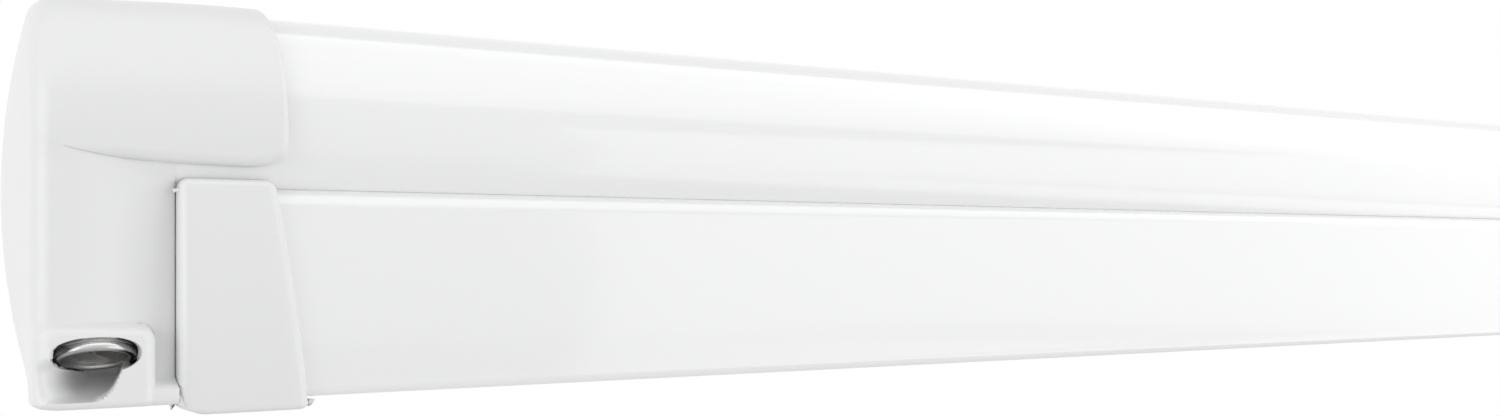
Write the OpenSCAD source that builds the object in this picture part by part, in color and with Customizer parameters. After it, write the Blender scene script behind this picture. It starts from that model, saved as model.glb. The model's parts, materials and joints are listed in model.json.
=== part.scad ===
// Roll-out awning: a wall-mounted cassette with a geared fabric roller, two folding
// arms, a lead rail and two fold-down telescopic legs. Lengths are in millimetres.
// X runs along the cassette, the front faces -Y, the wall plane is Y = 0 and Z is up.
// Profiles are drawn as (depth from the wall, height), end pieces from the left end.

/* [Cassette] */
// Overall length over the end caps
awning_length = 2320; // [2200:10:3000]
// Height from the underside of the lead rail to the top of the case
cassette_height = 130; // [128:1:136]
// Radius of the half-round front of the case
round_radius = 43; // [42:0.5:45]
// Depth of the centre of the half-round from the wall
round_depth = 47; // [46.5:0.5:48]
// Wall of the case extrusion
case_wall = 2.5; // [2:0.1:3]
// Radius of the upper back corner of the case
back_corner = 14; // [10:1:18]
// Height of the case floor above the underside of the lead rail
floor_rise = 5; // [4:0.5:5.5]
// How far the lead rail overlaps the lower lip of the case
lip_hidden = 6; // [5:0.5:7]
// Bore of the screw ports in the case
port_bore = 4.2; // [4:0.1:4.6]
// Wall around a screw port
port_wall = 2; // [1.5:0.1:2.4]

/* [Wall fixing] */
// Bolt hole in the back wall of the case
wall_hole = 6.6; // [5.5:0.1:9]
// Spacing of the wall bolts along the case
wall_span = 1300; // [800:10:1400]
// Spacing of the wall bolts up the case
wall_rise = 26; // [20:1:30]

/* [Roller and fabric] */
// Outer radius of the roller tube
roller_radius = 22.5; // [21:0.5:24]
// Wall of the roller tube
roller_wall = 2; // [1.5:0.1:3]
// Outer radius of the wound fabric
wound_radius = 27.5; // [26.5:0.1:28]
// Depth of the roller axis from the wall
roller_depth = 37.5; // [36:0.5:38.5]
// Drop of the roller axis below the top of the case
roller_drop = 39; // [38.5:0.5:40]
// Radius of the roller journals
journal_radius = 6; // [5:0.5:7]
// Wall of the journal bushes
bush_wall = 3; // [2:0.5:4]
// Distance of the fabric edge from the end of the cassette
fabric_inset = 52; // [50:1:80]
// Thickness of the fabric
fabric_thick = 0.5; // [0.4:0.1:0.8]

/* [Crank drive] */
// Angle of the crank axis below the horizontal
crank_tilt = 71; // [69:1:73]
// Distance of the crank plane from the end of the cassette
crank_inset = 20; // [19.5:0.1:21]
// Module of the worm gear
gear_module = 1.8; // [1.7:0.05:1.85]
// Teeth of the worm wheel
wheel_teeth = 14; // [14:1:15]
// Pitch radius of the worm
worm_radius = 6.1; // [5.8:0.1:6.4]
// Face width of the worm wheel
wheel_width = 8; // [6:0.5:9]
// Radius of the crank shaft
shaft_radius = 3.4; // [3:0.1:3.6]
// Outer radius of the crank bell
bell_radius = 12.2; // [11.5:0.1:12.6]
// Bore radius of the crank bell
bell_bore = 9.6; // [8.5:0.1:10]
// Depth of the bore of the crank bell
bell_cup = 5.5; // [4.5:0.5:6]
// Length of the straight band at the mouth of the crank bell
bell_band = 4.5; // [4:0.5:5]
// Length of the crank bell with its cone
bell_length = 9.5; // [9:0.5:10.5]
// Radius of the neck of the crank bell
bell_neck = 6; // [5.4:0.1:6.4]
// Length of the neck of the crank bell
neck_length = 9; // [7:0.5:11]
// Height of the bell mouth above the underside of the lead rail
bell_rise = 15; // [14:0.5:16]

/* [End caps] */
// How far the crown of a cap stands proud of the case
cap_skin = 3; // [2.5:0.1:3.5]
// Length of the crown along the case
crown_width = 77; // [65:1:85]
// Width of the lower panel of a cap
panel_width = 40; // [39:0.5:41]
// Depth of the lower panel from the wall
panel_depth = 88; // [87:0.5:89]
// Lower edge of the crown above the underside of the lead rail
crown_edge = 77; // [76:0.5:80]
// Underside of a cap above the underside of the lead rail
cap_floor = 1; // [0.5:0.1:1.5]
// Wall of the end caps
cap_wall = 2.5; // [2:0.1:2.8]
// Sideways bulge of an end cap
side_bulge = 8; // [6:0.5:9]
// Corner radius of an end cap between side and front
cap_corner = 10; // [7:0.5:12]
// How far the boss of the crank stands proud of the panel
boss_proud = 6.5; // [5:0.5:8]
// Top of the crank boss above the underside of the lead rail
boss_rise = 26.5; // [26:0.5:28]
// Width of the crank boss measured to the end of the cassette
boss_width = 36.5; // [35.5:0.5:38]
// Thickness of the end plates
plate_thick = 5; // [4:0.5:5]
// Distance of the case end from the end of the cassette
case_inset = 36; // [35.5:0.5:37]

/* [Lead rail] */
// Height of the front face of the lead rail
rail_height = 69; // [67:0.5:71]
// Depth of the back of the lead rail from the wall
rail_back = 50; // [49.5:0.5:50.5]
// Depth of the front of the lead rail from the wall
rail_front = 94; // [93.5:0.5:95]
// Radius of the gently curved front face
rail_bow = 220; // [180:10:300]
// Height of the box of the lead rail
rail_box = 55; // [54:0.5:55.5]
// Wall of the lead rail
rail_wall = 2.5; // [2.2:0.1:2.8]
// Thickness of the upstand of the lead rail
upstand = 6; // [5.5:0.1:6.4]
// Height of the leg lanes
lane_height = 32; // [31.5:0.1:33]
// Width of one leg lane
lane_width = 17.5; // [17.3:0.1:17.7]
// Radius of the fabric bead
bead_radius = 3; // [2.5:0.1:3.2]
// Wall around the bead groove
bead_wall = 1.9; // [1.6:0.1:2.1]
// Slot of the bead groove
bead_slot = 1.6; // [1.4:0.1:2.2]
// Thickness of the skin of a rail cap
rail_cap_skin = 2.6; // [2:0.1:3]
// Distance of a rail cap from the end of the cassette
rail_cap_inset = 43; // [42.5:0.5:44]
// Length of a rail cap along its top edge
rail_cap_top = 30; // [24:1:34]
// Length of a rail cap along its bottom edge
rail_cap_low = 40; // [34:1:42]

/* [Arms] */
// Length of an arm half between its pivots
arm_reach = 930; // [800:5:935]
// Distance of the shoulder pivot from the end of the cassette
shoulder_inset = 100; // [98:1:106]
// Height of the arm axis above the underside of the lead rail
arm_rise = 33; // [32.5:0.5:33.5]
// Depth of the upper arm tube
upper_deep = 20; // [18:0.5:20.5]
// Height of the upper arm tube
upper_tall = 38; // [34:0.5:38.5]
// Depth of the forearm tube
fore_deep = 18; // [16:0.5:18.5]
// Height of the forearm tube
fore_tall = 34; // [31:0.5:34.5]
// Wall of the arm tubes
arm_wall = 2; // [1.5:0.1:2.5]
// Depth of the upper arm axis from the wall
upper_axis = 17.5; // [17.2:0.1:17.8]
// Depth of the forearm axis from the wall
fore_axis = 38.5; // [38.2:0.1:38.8]
// Radius of the arm pivot pins
pin_radius = 5; // [4:0.25:5.5]
// Thickness of the ears of the arm brackets
ear_thick = 4; // [3:0.25:4.2]
// Thickness of the base of a shoulder bracket
bracket_base = 4; // [3:0.25:4.25]
// Shank radius of the bracket bolts
bolt_shank = 3; // [2.5:0.25:3]
// Distance of the first bracket bolts from the shoulder pivot
bolt_first = 18; // [17:0.5:20]
// Spacing of the bracket bolts along the case
bolt_pitch = 16; // [14:0.5:18]
// Spacing of the bracket bolts up the case
bolt_spread = 22; // [18:1:24]
// Shank radius of the wrist screws
screw_shank = 2; // [1.5:0.25:2]
// Distance of the first wrist screws from the wrist pivot
screw_first = 20; // [18:0.5:22]
// Spacing of the wrist screws along the rail
screw_pitch = 14; // [12:0.5:16]
// Spacing of the wrist screws up the rail
screw_spread = 18; // [14:1:20]
// Outer radius of the arm springs
spring_radius = 7; // [6:0.25:7.4]

/* [Legs] */
// Distance of a leg hinge from the end of the cassette
leg_inset = 100; // [99:1:110]
// Height of the leg axis above the underside of the lead rail
leg_rise = 17; // [16.5:0.5:17.5]
// Length of the outer leg tube
leg_length = 1050; // [900:10:1060]
// Width of the outer leg tube
leg_wide = 15; // [14.5:0.1:15.2]
// Height of the outer leg tube
leg_tall = 23; // [22:0.1:23.4]
// Wall of the leg tubes
leg_wall = 1.5; // [1.2:0.1:1.7]
// Radius of the leg hinge pins
leg_pin = 4; // [3:0.25:4.5]
// Length of the clamp lever
lever_length = 34; // [26:1:40]

/* [Clearances] */
// Radial clearance of a turning pin
run_gap = 0.06; // [0.04:0.01:0.1]
// Gap between pieces that seat in one another
seat_gap = 0.15; // [0.1:0.05:0.2]
// Gap between sliding or passing pieces
slide_gap = 0.3; // [0.25:0.05:0.35]
// Gap around the crank bell in its boss
bell_gap = 0.8; // [0.6:0.1:1]
// Thinning of the gear teeth for backlash
tooth_gap = 0.4; // [0.3:0.05:0.5]

/* [Hidden] */
$fn = 64;
half = awning_length / 2;
top_z = cassette_height / 2;
low_z = -cassette_height / 2;
round_z = top_z - round_radius;
floor_z = low_z + floor_rise;
rail_top = low_z + rail_height;
lip_z = rail_top - lip_hidden;
roller_z = top_z - roller_drop;
edge_z = low_z + crown_edge;
cap_z = low_z + cap_floor;
boss_z = low_z + boss_rise;
box_z = low_z + rail_box;
lane_z = low_z + lane_height;
arm_z = low_z + arm_rise;
leg_z = low_z + leg_rise;
bolt_z = arm_z;
through = awning_length;
// screw ports of the case as (depth, height)
port_ring = port_bore / 2 + port_wall;
ports = [[back_corner - 4, top_z - back_corner + 2], [round_depth - 5, top_z - port_ring - case_wall],
  [case_wall + port_ring + 1.9, arm_z + upper_tall / 2 + 17]];
// worm gear
wheel_pitch = gear_module * wheel_teeth / 2;
worm_starts = 2;
gear_centres = wheel_pitch + worm_radius;
worm_depth = roller_depth + gear_centres * sin(crank_tilt);
worm_z = roller_z + gear_centres * cos(crank_tilt);
worm_pitch = PI * gear_module;
worm_lead = worm_pitch * worm_starts;
lead_angle = atan(worm_lead / (2 * PI * worm_radius));
worm_tip = worm_radius + 0.85 * gear_module;
worm_root = worm_radius - 1.2 * gear_module;
worm_half = 11;
mouth_at = (worm_z - low_z - bell_rise) / sin(crank_tilt);
// bead groove on the box of the lead rail
bead_depth = rail_back + 24.5;
bead_outer = bead_radius + slide_gap + bead_wall;
bead_z = box_z + bead_outer - 0.6;
// leg lanes, front lane for the left leg and back lane for the right leg
lane_front = rail_front - 3.5 - lane_width;
lane_back = lane_front - rail_wall - lane_width;
// arms
elbow_axis = (upper_axis + fore_axis) / 2;
arm_run = sqrt(pow(arm_reach, 2) - pow(elbow_axis - upper_axis, 2));
shoulder_x = shoulder_inset;
elbow_x = shoulder_inset + arm_run;
plate_u = case_inset - plate_thick;
barrel = (pow(cassette_height / 2, 2) + pow(side_bulge, 2)) / (2 * side_bulge);
hole_radius = bell_radius + bell_gap;

// Placing helpers
module along_x(from, to)
  translate([to, 0, 0]) rotate([90, 0, -90]) linear_extrude(to - from) children();
module along_y(from, to)
  translate([0, -from, 0]) rotate([90, 0, 0]) linear_extrude(to - from) children();
module along_z(from, to)
  translate([0, 0, from]) mirror([0, 1, 0]) linear_extrude(to - from) children();
module rod_x(depth, z, r, from, to)
  translate([from, -depth, z]) rotate([0, 90, 0]) cylinder(r = r, h = to - from);
module rod_y(x, z, r, from, to)
  translate([x, -from, z]) rotate([90, 0, 0]) cylinder(r = r, h = to - from);
module rod_z(x, depth, r, from, to)
  translate([x, -depth, from]) cylinder(r = r, h = to - from);
module block(x0, x1, d0, d1, z0, z1)
  translate([x0, -d1, z0]) cube([x1 - x0, d1 - d0, z1 - z0]);
module at_end(side) {
  if (side < 0) translate([-half, 0, 0]) children();
  else mirror([1, 0, 0]) translate([-half, 0, 0]) children();
}
module bell_way() {
  translate([0, 0, mouth_at - bell_band]) cylinder(r = hole_radius, h = cassette_height);
  translate([0, 0, mouth_at - bell_length])
    cylinder(r1 = bell_neck + bell_gap, r2 = hole_radius, h = bell_length - bell_band);
  translate([0, 0, mouth_at - bell_length - neck_length - 2])
    cylinder(r = bell_neck + bell_gap, h = neck_length + 2.01);
}
module on_crank()
  translate([crank_inset, -worm_depth, worm_z]) rotate([90 + crank_tilt, 0, 0]) children();
module box_at(d0, d1, z0, z1)
  translate([d0, z0]) square([d1 - d0, z1 - z0]);

// Sections drawn as (depth, height)
module case_region(inset) {
  translate([round_depth, round_z]) circle(round_radius - inset);
  box_at(inset, round_depth, floor_z + inset, top_z - back_corner);
  box_at(back_corner, round_depth, floor_z + inset, top_z - inset);
  translate([back_corner, top_z - back_corner]) circle(back_corner - inset);
}
module case_section() {
  difference() {
    union() {
      difference() {
        case_region(0);
        case_region(case_wall);
        box_at(round_depth, through, -through, lip_z);
      }
      for (p = ports) translate(p) circle(port_ring);
      box_at(case_wall / 2, ports[0][0], ports[0][1] - 1.2, ports[0][1] + 1.2);
      box_at(ports[1][0] - 1.2, ports[1][0] + 1.2, ports[1][1], top_z - case_wall / 2);
      box_at(case_wall / 2, ports[2][0], ports[2][1] - 1.2, ports[2][1] + 1.2);
    }
    for (p = ports) translate(p) circle(port_bore / 2);
  }
}

// Cassette
module housing() {
  color([0.93, 0.94, 0.95])
  difference() {
    along_x(-half + case_inset, half - case_inset) case_section();
    for (x = [-wall_span / 2, wall_span / 2]) for (z = [-wall_rise / 2, wall_rise / 2])
      rod_y(x, bolt_z + z, wall_hole / 2, -1, case_wall + 1);
    for (side = [-1, 1]) at_end(side) bracket_holes(0.2);
  }
}
bolt_sunk = 0.4;
bolt_head = bolt_shank + 2;
bolt_cap = 3.2;
module bracket_holes(from)
  for (x = [0, -bolt_pitch]) for (z = [-bolt_spread / 2, bolt_spread / 2])
    rod_y(shoulder_x - bolt_first + x, arm_z + z, bolt_shank + run_gap, from, bracket_base + case_wall + 1);
module end_plate(crank) {
  difference() {
    along_x(plate_u, case_inset) intersection() {
      union() {
        intersection() {
          case_region(slide_gap);
          box_at(-5, through, edge_z + cap_wall + slide_gap, through);
        }
        box_at(0, panel_depth - cap_wall - slide_gap, cap_z + cap_wall + slide_gap,
          edge_z + cap_wall + slide_gap);
      }
      box_at(cap_wall + slide_gap, through, -through, through);
    }
    rod_x(roller_depth, roller_z, journal_radius + bush_wall + run_gap, 0, through);
    for (p = ports) rod_x(p[0], p[1], port_bore / 2, 0, through);
    if (crank) on_crank() bell_way();
  }
}
module left_end_plate() color([0.75, 0.76, 0.78]) at_end(-1) end_plate(true);
module right_end_plate() color([0.75, 0.76, 0.78]) at_end(1) end_plate(false);
module cap_side(inset)
  translate([barrel, 1, 0]) rotate([90, 0, 0]) cylinder(r = barrel - inset, h = 120, $fn = 720);
module cap_plan(front, inset) {
  along_z(-through, through) difference() {
    translate([inset, -5]) square([through, front + 5 - inset]);
    difference() {
      translate([inset - 1, front - cap_corner]) square([cap_corner + 1 - inset, 50]);
      translate([cap_corner, front - cap_corner]) circle(cap_corner - inset);
    }
  }
}
module crown_solid() {
  intersection() {
    along_x(0, crown_width) intersection() {
      case_region(-cap_skin);
      box_at(0, through, edge_z, through);
    }
    cap_side(0);
    cap_plan(round_depth + round_radius + cap_skin, 0);
  }
}
module body_solid() {
  intersection() {
    along_x(0, panel_width) {
      box_at(0, panel_depth, cap_z + 5, edge_z + cap_wall);
      box_at(0, panel_depth - 5, cap_z, edge_z);
      translate([panel_depth - 5, cap_z + 5]) circle(5);
    }
    cap_side(0);
    cap_plan(panel_depth, 0);
  }
}
module cap_hollow() {
  intersection() {
    union() {
      along_x(cap_wall, case_inset) {
        intersection() {
          case_region(-seat_gap);
          box_at(cap_wall, through, edge_z + cap_wall, through);
        }
        box_at(cap_wall, panel_depth - cap_wall, cap_z + cap_wall, edge_z + cap_wall + 1);
      }
      along_x(case_inset - 0.01, half) {
        case_region(-seat_gap);
        box_at(-5, panel_depth - cap_wall, cap_z + cap_wall, edge_z);
        box_at(-5, 20, -through, top_z - back_corner);
      }
    }
    cap_side(cap_wall);
    cap_plan(round_depth + round_radius + cap_skin, cap_wall);
  }
}
module boss_solid() {
  intersection() {
    along_x(2, boss_width) {
      box_at(panel_depth - cap_wall, panel_depth + boss_proud, cap_z + 3, boss_z - 4);
      box_at(panel_depth - cap_wall, panel_depth + boss_proud - 4, cap_z + 1, boss_z);
      translate([panel_depth + boss_proud - 4, boss_z - 4]) circle(4);
    }
    along_z(-through, through) union() {
      translate([2, 0]) square([boss_width - 6, panel_depth + boss_proud]);
      translate([2, 0]) square([boss_width - 2, panel_depth + boss_proud - 4]);
      translate([boss_width - 4, panel_depth + boss_proud - 4]) circle(4);
    }
    cap_side(0);
    cap_plan(panel_depth + boss_proud, 0);
  }
}
module left_end_cap() {
  color([0.95, 0.95, 0.96]) at_end(-1) difference() {
    union() {
      difference() {
        union() {
          crown_solid();
          body_solid();
        }
        cap_hollow();
      }
      boss_solid();
    }
    on_crank() bell_way();
  }
}
module right_end_cap() {
  color([0.95, 0.95, 0.96]) at_end(1) difference() {
    union() {
      crown_solid();
      body_solid();
    }
    cap_hollow();
  }
}
module gear_case() {
  color([0.42, 0.44, 0.46]) at_end(-1) difference() {
    union() {
      rod_x(roller_depth, roller_z, wheel_pitch + 5, crank_inset - 9, plate_u);
      intersection() {
        on_crank() translate([0, 0, -17]) cylinder(r = 11, h = 34);
        block(0, plate_u, 0, through, -through, through);
      }
      intersection() {
        on_crank() translate([0, 0, -17]) translate([0, -9, 0]) cube([20, 18, 34]);
        block(0, plate_u, 0, through, -through, through);
      }
    }
    rod_x(roller_depth, roller_z, wheel_pitch + 2.4, crank_inset - 6.5, plate_u + 1);
    on_crank() translate([0, 0, -13]) cylinder(r = worm_tip + 0.8, h = 26);
    on_crank() translate([0, 0, -30]) cylinder(r = shaft_radius + run_gap, h = 60);
  }
}
module crank_bearing() {
  color([0.42, 0.44, 0.46]) at_end(-1) difference() {
    intersection() {
      on_crank() translate([0, 0, mouth_at - 46]) union() {
        cylinder(r = 8, h = 12);
        translate([0, -8, 0]) cube([30, 16, 12]);
      }
      block(0, plate_u, 0, through, -through, through);
    }
    on_crank() translate([0, 0, mouth_at - 60]) cylinder(r = shaft_radius + run_gap, h = 50);
  }
}
module arm_bracket() {
  difference() {
    union() {
      block(shoulder_x - 44, shoulder_x + 9.5, case_wall, case_wall + bracket_base,
        arm_z - upper_tall / 2 - slide_gap - ear_thick, arm_z + upper_tall / 2 + slide_gap + ear_thick);
      for (s = [-1, 1]) {
        z0 = arm_z + s * (upper_tall / 2 + slide_gap + ear_thick / 2) - ear_thick / 2;
        along_z(z0, z0 + ear_thick) {
          translate([shoulder_x - 9.5, case_wall]) square([19, upper_axis - case_wall]);
          translate([shoulder_x, upper_axis]) circle(9.5);
        }
      }
    }
    rod_z(shoulder_x, upper_axis, pin_radius + run_gap, -through, through);
    bracket_holes(0.2);
  }
}
module left_arm_bracket() color([0.75, 0.76, 0.78]) at_end(-1) arm_bracket();
module right_arm_bracket() color([0.75, 0.76, 0.78]) at_end(1) arm_bracket();
module shoulder_pins() {
  color([0.6, 0.61, 0.63]) for (side = [-1, 1]) at_end(side)
    rod_z(shoulder_x, upper_axis, pin_radius, arm_z - upper_tall / 2 - slide_gap - ear_thick,
      arm_z + upper_tall / 2 + slide_gap + ear_thick);
}
module roller_bushes() {
  color([0.15, 0.15, 0.16]) for (side = [-1, 1]) at_end(side) difference() {
    rod_x(roller_depth, roller_z, journal_radius + bush_wall, plate_u, case_inset);
    rod_x(roller_depth, roller_z, journal_radius + run_gap, 0, through);
  }
}
end_screw = 14;
screw_cap = 2.4;
module end_screws() {
  color([0.7, 0.71, 0.73]) for (side = [-1, 1]) at_end(side) for (p = ports) {
    rod_x(p[0], p[1], port_bore / 2 - run_gap, plate_u, case_inset + end_screw);
    rod_x(p[0], p[1], port_ring - 0.3, plate_u - screw_cap, plate_u);
  }
}
module bracket_bolts() {
  color([0.7, 0.71, 0.73]) for (side = [-1, 1]) at_end(side)
    for (x = [0, -bolt_pitch]) for (z = [-bolt_spread / 2, bolt_spread / 2])
      translate([shoulder_x - bolt_first + x, 0, arm_z + z]) {
        rod_y(0, 0, bolt_shank, bolt_sunk, case_wall + bracket_base);
        rod_y(0, 0, bolt_head, case_wall + bracket_base, case_wall + bracket_base + bolt_cap);
      }
}

// Roller and fabric
module roller_tube() {
  color([0.75, 0.76, 0.78]) difference() {
    rod_x(roller_depth, roller_z, roller_radius, -half + case_inset + 4, half - case_inset - 4);
    rod_x(roller_depth, roller_z, roller_radius - roller_wall, -half, half);
  }
}
module roller_plug(inner_end) {
  rod_x(roller_depth, roller_z, journal_radius, inner_end, case_inset + 2);
  rod_x(roller_depth, roller_z, roller_radius, case_inset + 1, case_inset + 4);
  rod_x(roller_depth, roller_z, roller_radius - roller_wall - seat_gap, case_inset + 4, case_inset + 40);
}
module left_roller_plug() color([0.2, 0.2, 0.21]) at_end(-1) roller_plug(crank_inset - wheel_width / 2 - 2);
module right_roller_plug() color([0.2, 0.2, 0.21]) at_end(1) roller_plug(plate_u - 3);
base_radius = wheel_pitch * cos(20);
function inv_angle(r) = r <= base_radius ? 0
  : sqrt(pow(r / base_radius, 2) - 1) * 180 / PI - acos(base_radius / r);
function tooth_half(r) = 90 / wheel_teeth - tooth_gap / 2 / wheel_pitch * 180 / PI
  + inv_angle(wheel_pitch) - inv_angle(r);
wheel_tip = wheel_pitch + 0.85 * gear_module;
wheel_root = wheel_pitch - 1.2 * gear_module;
flank = [for (k = [0:5]) wheel_root + (wheel_tip - wheel_root) * k / 5];
function polar(r, a) = [r * cos(a), r * sin(a)];
module wheel_outline() {
  polygon([for (t = [0:wheel_teeth - 1]) let (a = t * 360 / wheel_teeth)
    each concat([for (r = flank) polar(r, a - tooth_half(r))],
      [for (k = [5:-1:0]) polar(flank[k], a + tooth_half(flank[k]))])]);
}
wheel_twist = wheel_width * tan(lead_angle) / wheel_pitch * 180 / PI;
module worm_wheel() {
  color([0.82, 0.72, 0.45]) at_end(-1) translate([crank_inset, -roller_depth, roller_z])
    rotate([0, 90, 0]) difference() {
      rotate(180 + crank_tilt - 180 / wheel_teeth - wheel_twist / 2)
        linear_extrude(wheel_width, center = true, twist = -wheel_twist, slices = 6) wheel_outline();
      cylinder(r = journal_radius + run_gap, h = through, center = true);
    }
}
module fabric_roll() {
  color([0.55, 0.57, 0.6]) difference() {
    rod_x(roller_depth, roller_z, wound_radius, -half + fabric_inset, half - fabric_inset);
    rod_x(roller_depth, roller_z, roller_radius + 0.05, -half, half);
  }
}
module awning_fabric() {
  s0 = [roller_depth + 1, roller_z - wound_radius - fabric_thick - 0.3];
  s1 = [bead_depth - bead_outer + 2.2, bead_z - fabric_thick / 2];
  color([0.55, 0.57, 0.6]) along_x(-half + fabric_inset, half - fabric_inset)
    polygon([s0, s1, s1 + [0, fabric_thick], s0 + [0, fabric_thick]]);
}

// Crank
worm_steps = 24;
thread_turns = (2 * worm_half - 4) / worm_lead;
thread_rings = floor(thread_turns * worm_steps);
thread_pitch_half = worm_pitch / 4 - tooth_gap / 2;
tip_half = thread_pitch_half - (worm_tip - worm_radius) * tan(20);
root_half = thread_pitch_half + (worm_radius - worm_root + 0.4) * tan(20);
function thread_ring(k, start) = let (turn = (k - thread_rings / 2) / worm_steps,
  a = 360 * turn - 90 + 180 * start, z = worm_lead * turn)
  [[(worm_root - 0.4) * cos(a), (worm_root - 0.4) * sin(a), z - root_half],
   [worm_tip * cos(a), worm_tip * sin(a), z - tip_half],
   [worm_tip * cos(a), worm_tip * sin(a), z + tip_half],
   [(worm_root - 0.4) * cos(a), (worm_root - 0.4) * sin(a), z + root_half]];
module worm_thread(start) {
  pts = [for (k = [0:thread_rings]) each thread_ring(k, start)];
  sides = [for (k = [0:thread_rings - 1]) for (j = [0:3]) let (a = 4 * k + j, b = 4 * k + (j + 1) % 4)
    each [[a, b, a + 4], [b, b + 4, a + 4]]];
  last = 4 * thread_rings;
  ends = [[0, 2, 1], [0, 3, 2], [last, last + 1, last + 2], [last, last + 2, last + 3]];
  polyhedron(pts, concat(sides, ends));
}
module worm_shaft() {
  color([0.66, 0.67, 0.69]) at_end(-1) on_crank() {
    worm_thread(0);
    worm_thread(1);
    translate([0, 0, -worm_half]) cylinder(r = worm_root, h = 2 * worm_half);
    translate([0, 0, -16.5]) cylinder(r = shaft_radius, h = 16.5 + mouth_at - bell_length);
  }
}
module crank_bell() {
  color([0.6, 0.6, 0.6]) at_end(-1) on_crank() translate([0, 0, mouth_at]) difference() {
    union() {
      translate([0, 0, -bell_band]) cylinder(r = bell_radius, h = bell_band);
      translate([0, 0, -bell_length])
        cylinder(r1 = bell_neck, r2 = bell_radius, h = bell_length - bell_band);
      translate([0, 0, -bell_length - neck_length]) cylinder(r = bell_neck, h = neck_length);
    }
    translate([0, 0, -bell_cup]) cylinder(r = bell_bore, h = bell_cup + 1);
    translate([0, 0, -bell_length - neck_length - 1])
      cylinder(r = shaft_radius + run_gap, h = neck_length + 1);
  }
}

// Arms, drawn for the left side
module tube_x(x0, x1, depth, deep, tall, z, wall) {
  difference() {
    block(x0, x1, depth - deep / 2, depth + deep / 2, z - tall / 2, z + tall / 2);
    block(x0 - 1, x1 + 1, depth - deep / 2 + wall, depth + deep / 2 - wall,
      z - tall / 2 + wall, z + tall / 2 - wall);
  }
}
module plug_x(x0, x1, depth, deep, tall, z)
  block(x0, x1, depth - deep / 2 + arm_wall + seat_gap, depth + deep / 2 - arm_wall - seat_gap,
    z - tall / 2 + arm_wall + seat_gap, z + tall / 2 - arm_wall - seat_gap);
tube_end = 13;
plug_long = 30;
ear_reach = 25;
module upper_tube()
  tube_x(shoulder_x + tube_end, elbow_x - ear_reach, upper_axis, upper_deep, upper_tall, arm_z, arm_wall);
module shoulder_casting() {
  difference() {
    union() {
      rod_z(shoulder_x, upper_axis, 9, arm_z - upper_tall / 2, arm_z + upper_tall / 2);
      block(shoulder_x, shoulder_x + tube_end, upper_axis - 9, upper_axis + 9,
        arm_z - upper_tall / 2, arm_z + upper_tall / 2);
      plug_x(shoulder_x + tube_end, shoulder_x + tube_end + plug_long, upper_axis, upper_deep,
        upper_tall, arm_z);
      rod_x(upper_axis, arm_z, spring_radius - 2.5 - slide_gap, shoulder_x + tube_end + plug_long - 1,
        shoulder_x + tube_end + plug_long + 20);
    }
    rod_z(shoulder_x, upper_axis, pin_radius + run_gap, -through, through);
  }
}
module upper_elbow() {
  difference() {
    union() {
      plug_x(elbow_x - ear_reach - plug_long, elbow_x - ear_reach, upper_axis, upper_deep,
        upper_tall, arm_z);
      rod_x(upper_axis, arm_z, spring_radius - 2.5 - slide_gap, elbow_x - ear_reach - plug_long - 20,
        elbow_x - ear_reach - plug_long + 1);
      block(elbow_x - ear_reach, elbow_x - ear_reach + 4, upper_axis - upper_deep / 2,
        upper_axis + upper_deep / 2, arm_z - upper_tall / 2, arm_z + upper_tall / 2);
      for (s = [-1, 1]) {
        z0 = arm_z + (s > 0 ? upper_tall / 6 + slide_gap : -upper_tall / 2);
        along_z(z0, z0 + upper_tall / 3 - slide_gap) {
          translate([elbow_x, elbow_axis]) circle(9.5);
          polygon([[elbow_x - ear_reach + 3, upper_axis - upper_deep / 2],
            [elbow_x - ear_reach + 3, upper_axis + upper_deep / 2],
            [elbow_x - 3, elbow_axis + 9], [elbow_x + 3, elbow_axis - 9]]);
        }
      }
    }
    rod_z(elbow_x, elbow_axis, pin_radius + run_gap, -through, through);
  }
}
module arm_spring() {
  x0 = shoulder_x + tube_end + plug_long;
  x1 = elbow_x - ear_reach - plug_long;
  difference() {
    rod_x(upper_axis, arm_z, spring_radius, x0, x1);
    rod_x(upper_axis, arm_z, spring_radius - 2.5, x0 - 1, x1 + 1);
  }
}
module elbow_pin()
  rod_z(elbow_x, elbow_axis, pin_radius, arm_z - upper_tall / 2, arm_z + upper_tall / 2);
module forearm_tube()
  tube_x(shoulder_x + tube_end, elbow_x - ear_reach, fore_axis, fore_deep, fore_tall, arm_z, arm_wall);
module fore_elbow() {
  difference() {
    union() {
      plug_x(elbow_x - ear_reach - plug_long, elbow_x - ear_reach, fore_axis, fore_deep, fore_tall, arm_z);
      block(elbow_x - ear_reach, elbow_x - ear_reach + 4, fore_axis - fore_deep / 2,
        fore_axis + fore_deep / 2, arm_z - fore_tall / 2, arm_z + fore_tall / 2);
      along_z(arm_z - upper_tall / 6 + slide_gap, arm_z + upper_tall / 6 - slide_gap) {
        translate([elbow_x, elbow_axis]) circle(9.5);
        polygon([[elbow_x - ear_reach + 3, fore_axis - fore_deep / 2],
          [elbow_x - ear_reach + 3, fore_axis + fore_deep / 2 - 1],
          [elbow_x + 3, elbow_axis + 9], [elbow_x - 3, elbow_axis - 9]]);
      }
    }
    rod_z(elbow_x, elbow_axis, pin_radius + run_gap, -through, through);
  }
}
module wrist_casting() {
  difference() {
    union() {
      rod_z(shoulder_x, fore_axis, 8, arm_z - fore_tall / 2, arm_z + fore_tall / 2);
      block(shoulder_x, shoulder_x + tube_end, fore_axis - 8, fore_axis + 8,
        arm_z - fore_tall / 2, arm_z + fore_tall / 2);
      plug_x(shoulder_x + tube_end, shoulder_x + tube_end + plug_long, fore_axis, fore_deep,
        fore_tall, arm_z);
    }
    rod_z(shoulder_x, fore_axis, pin_radius + slide_gap, -through, through);
  }
}
module left_upper_tube() color([0.9, 0.91, 0.92]) at_end(-1) upper_tube();
module left_shoulder_casting() color([0.75, 0.76, 0.78]) at_end(-1) shoulder_casting();
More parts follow.
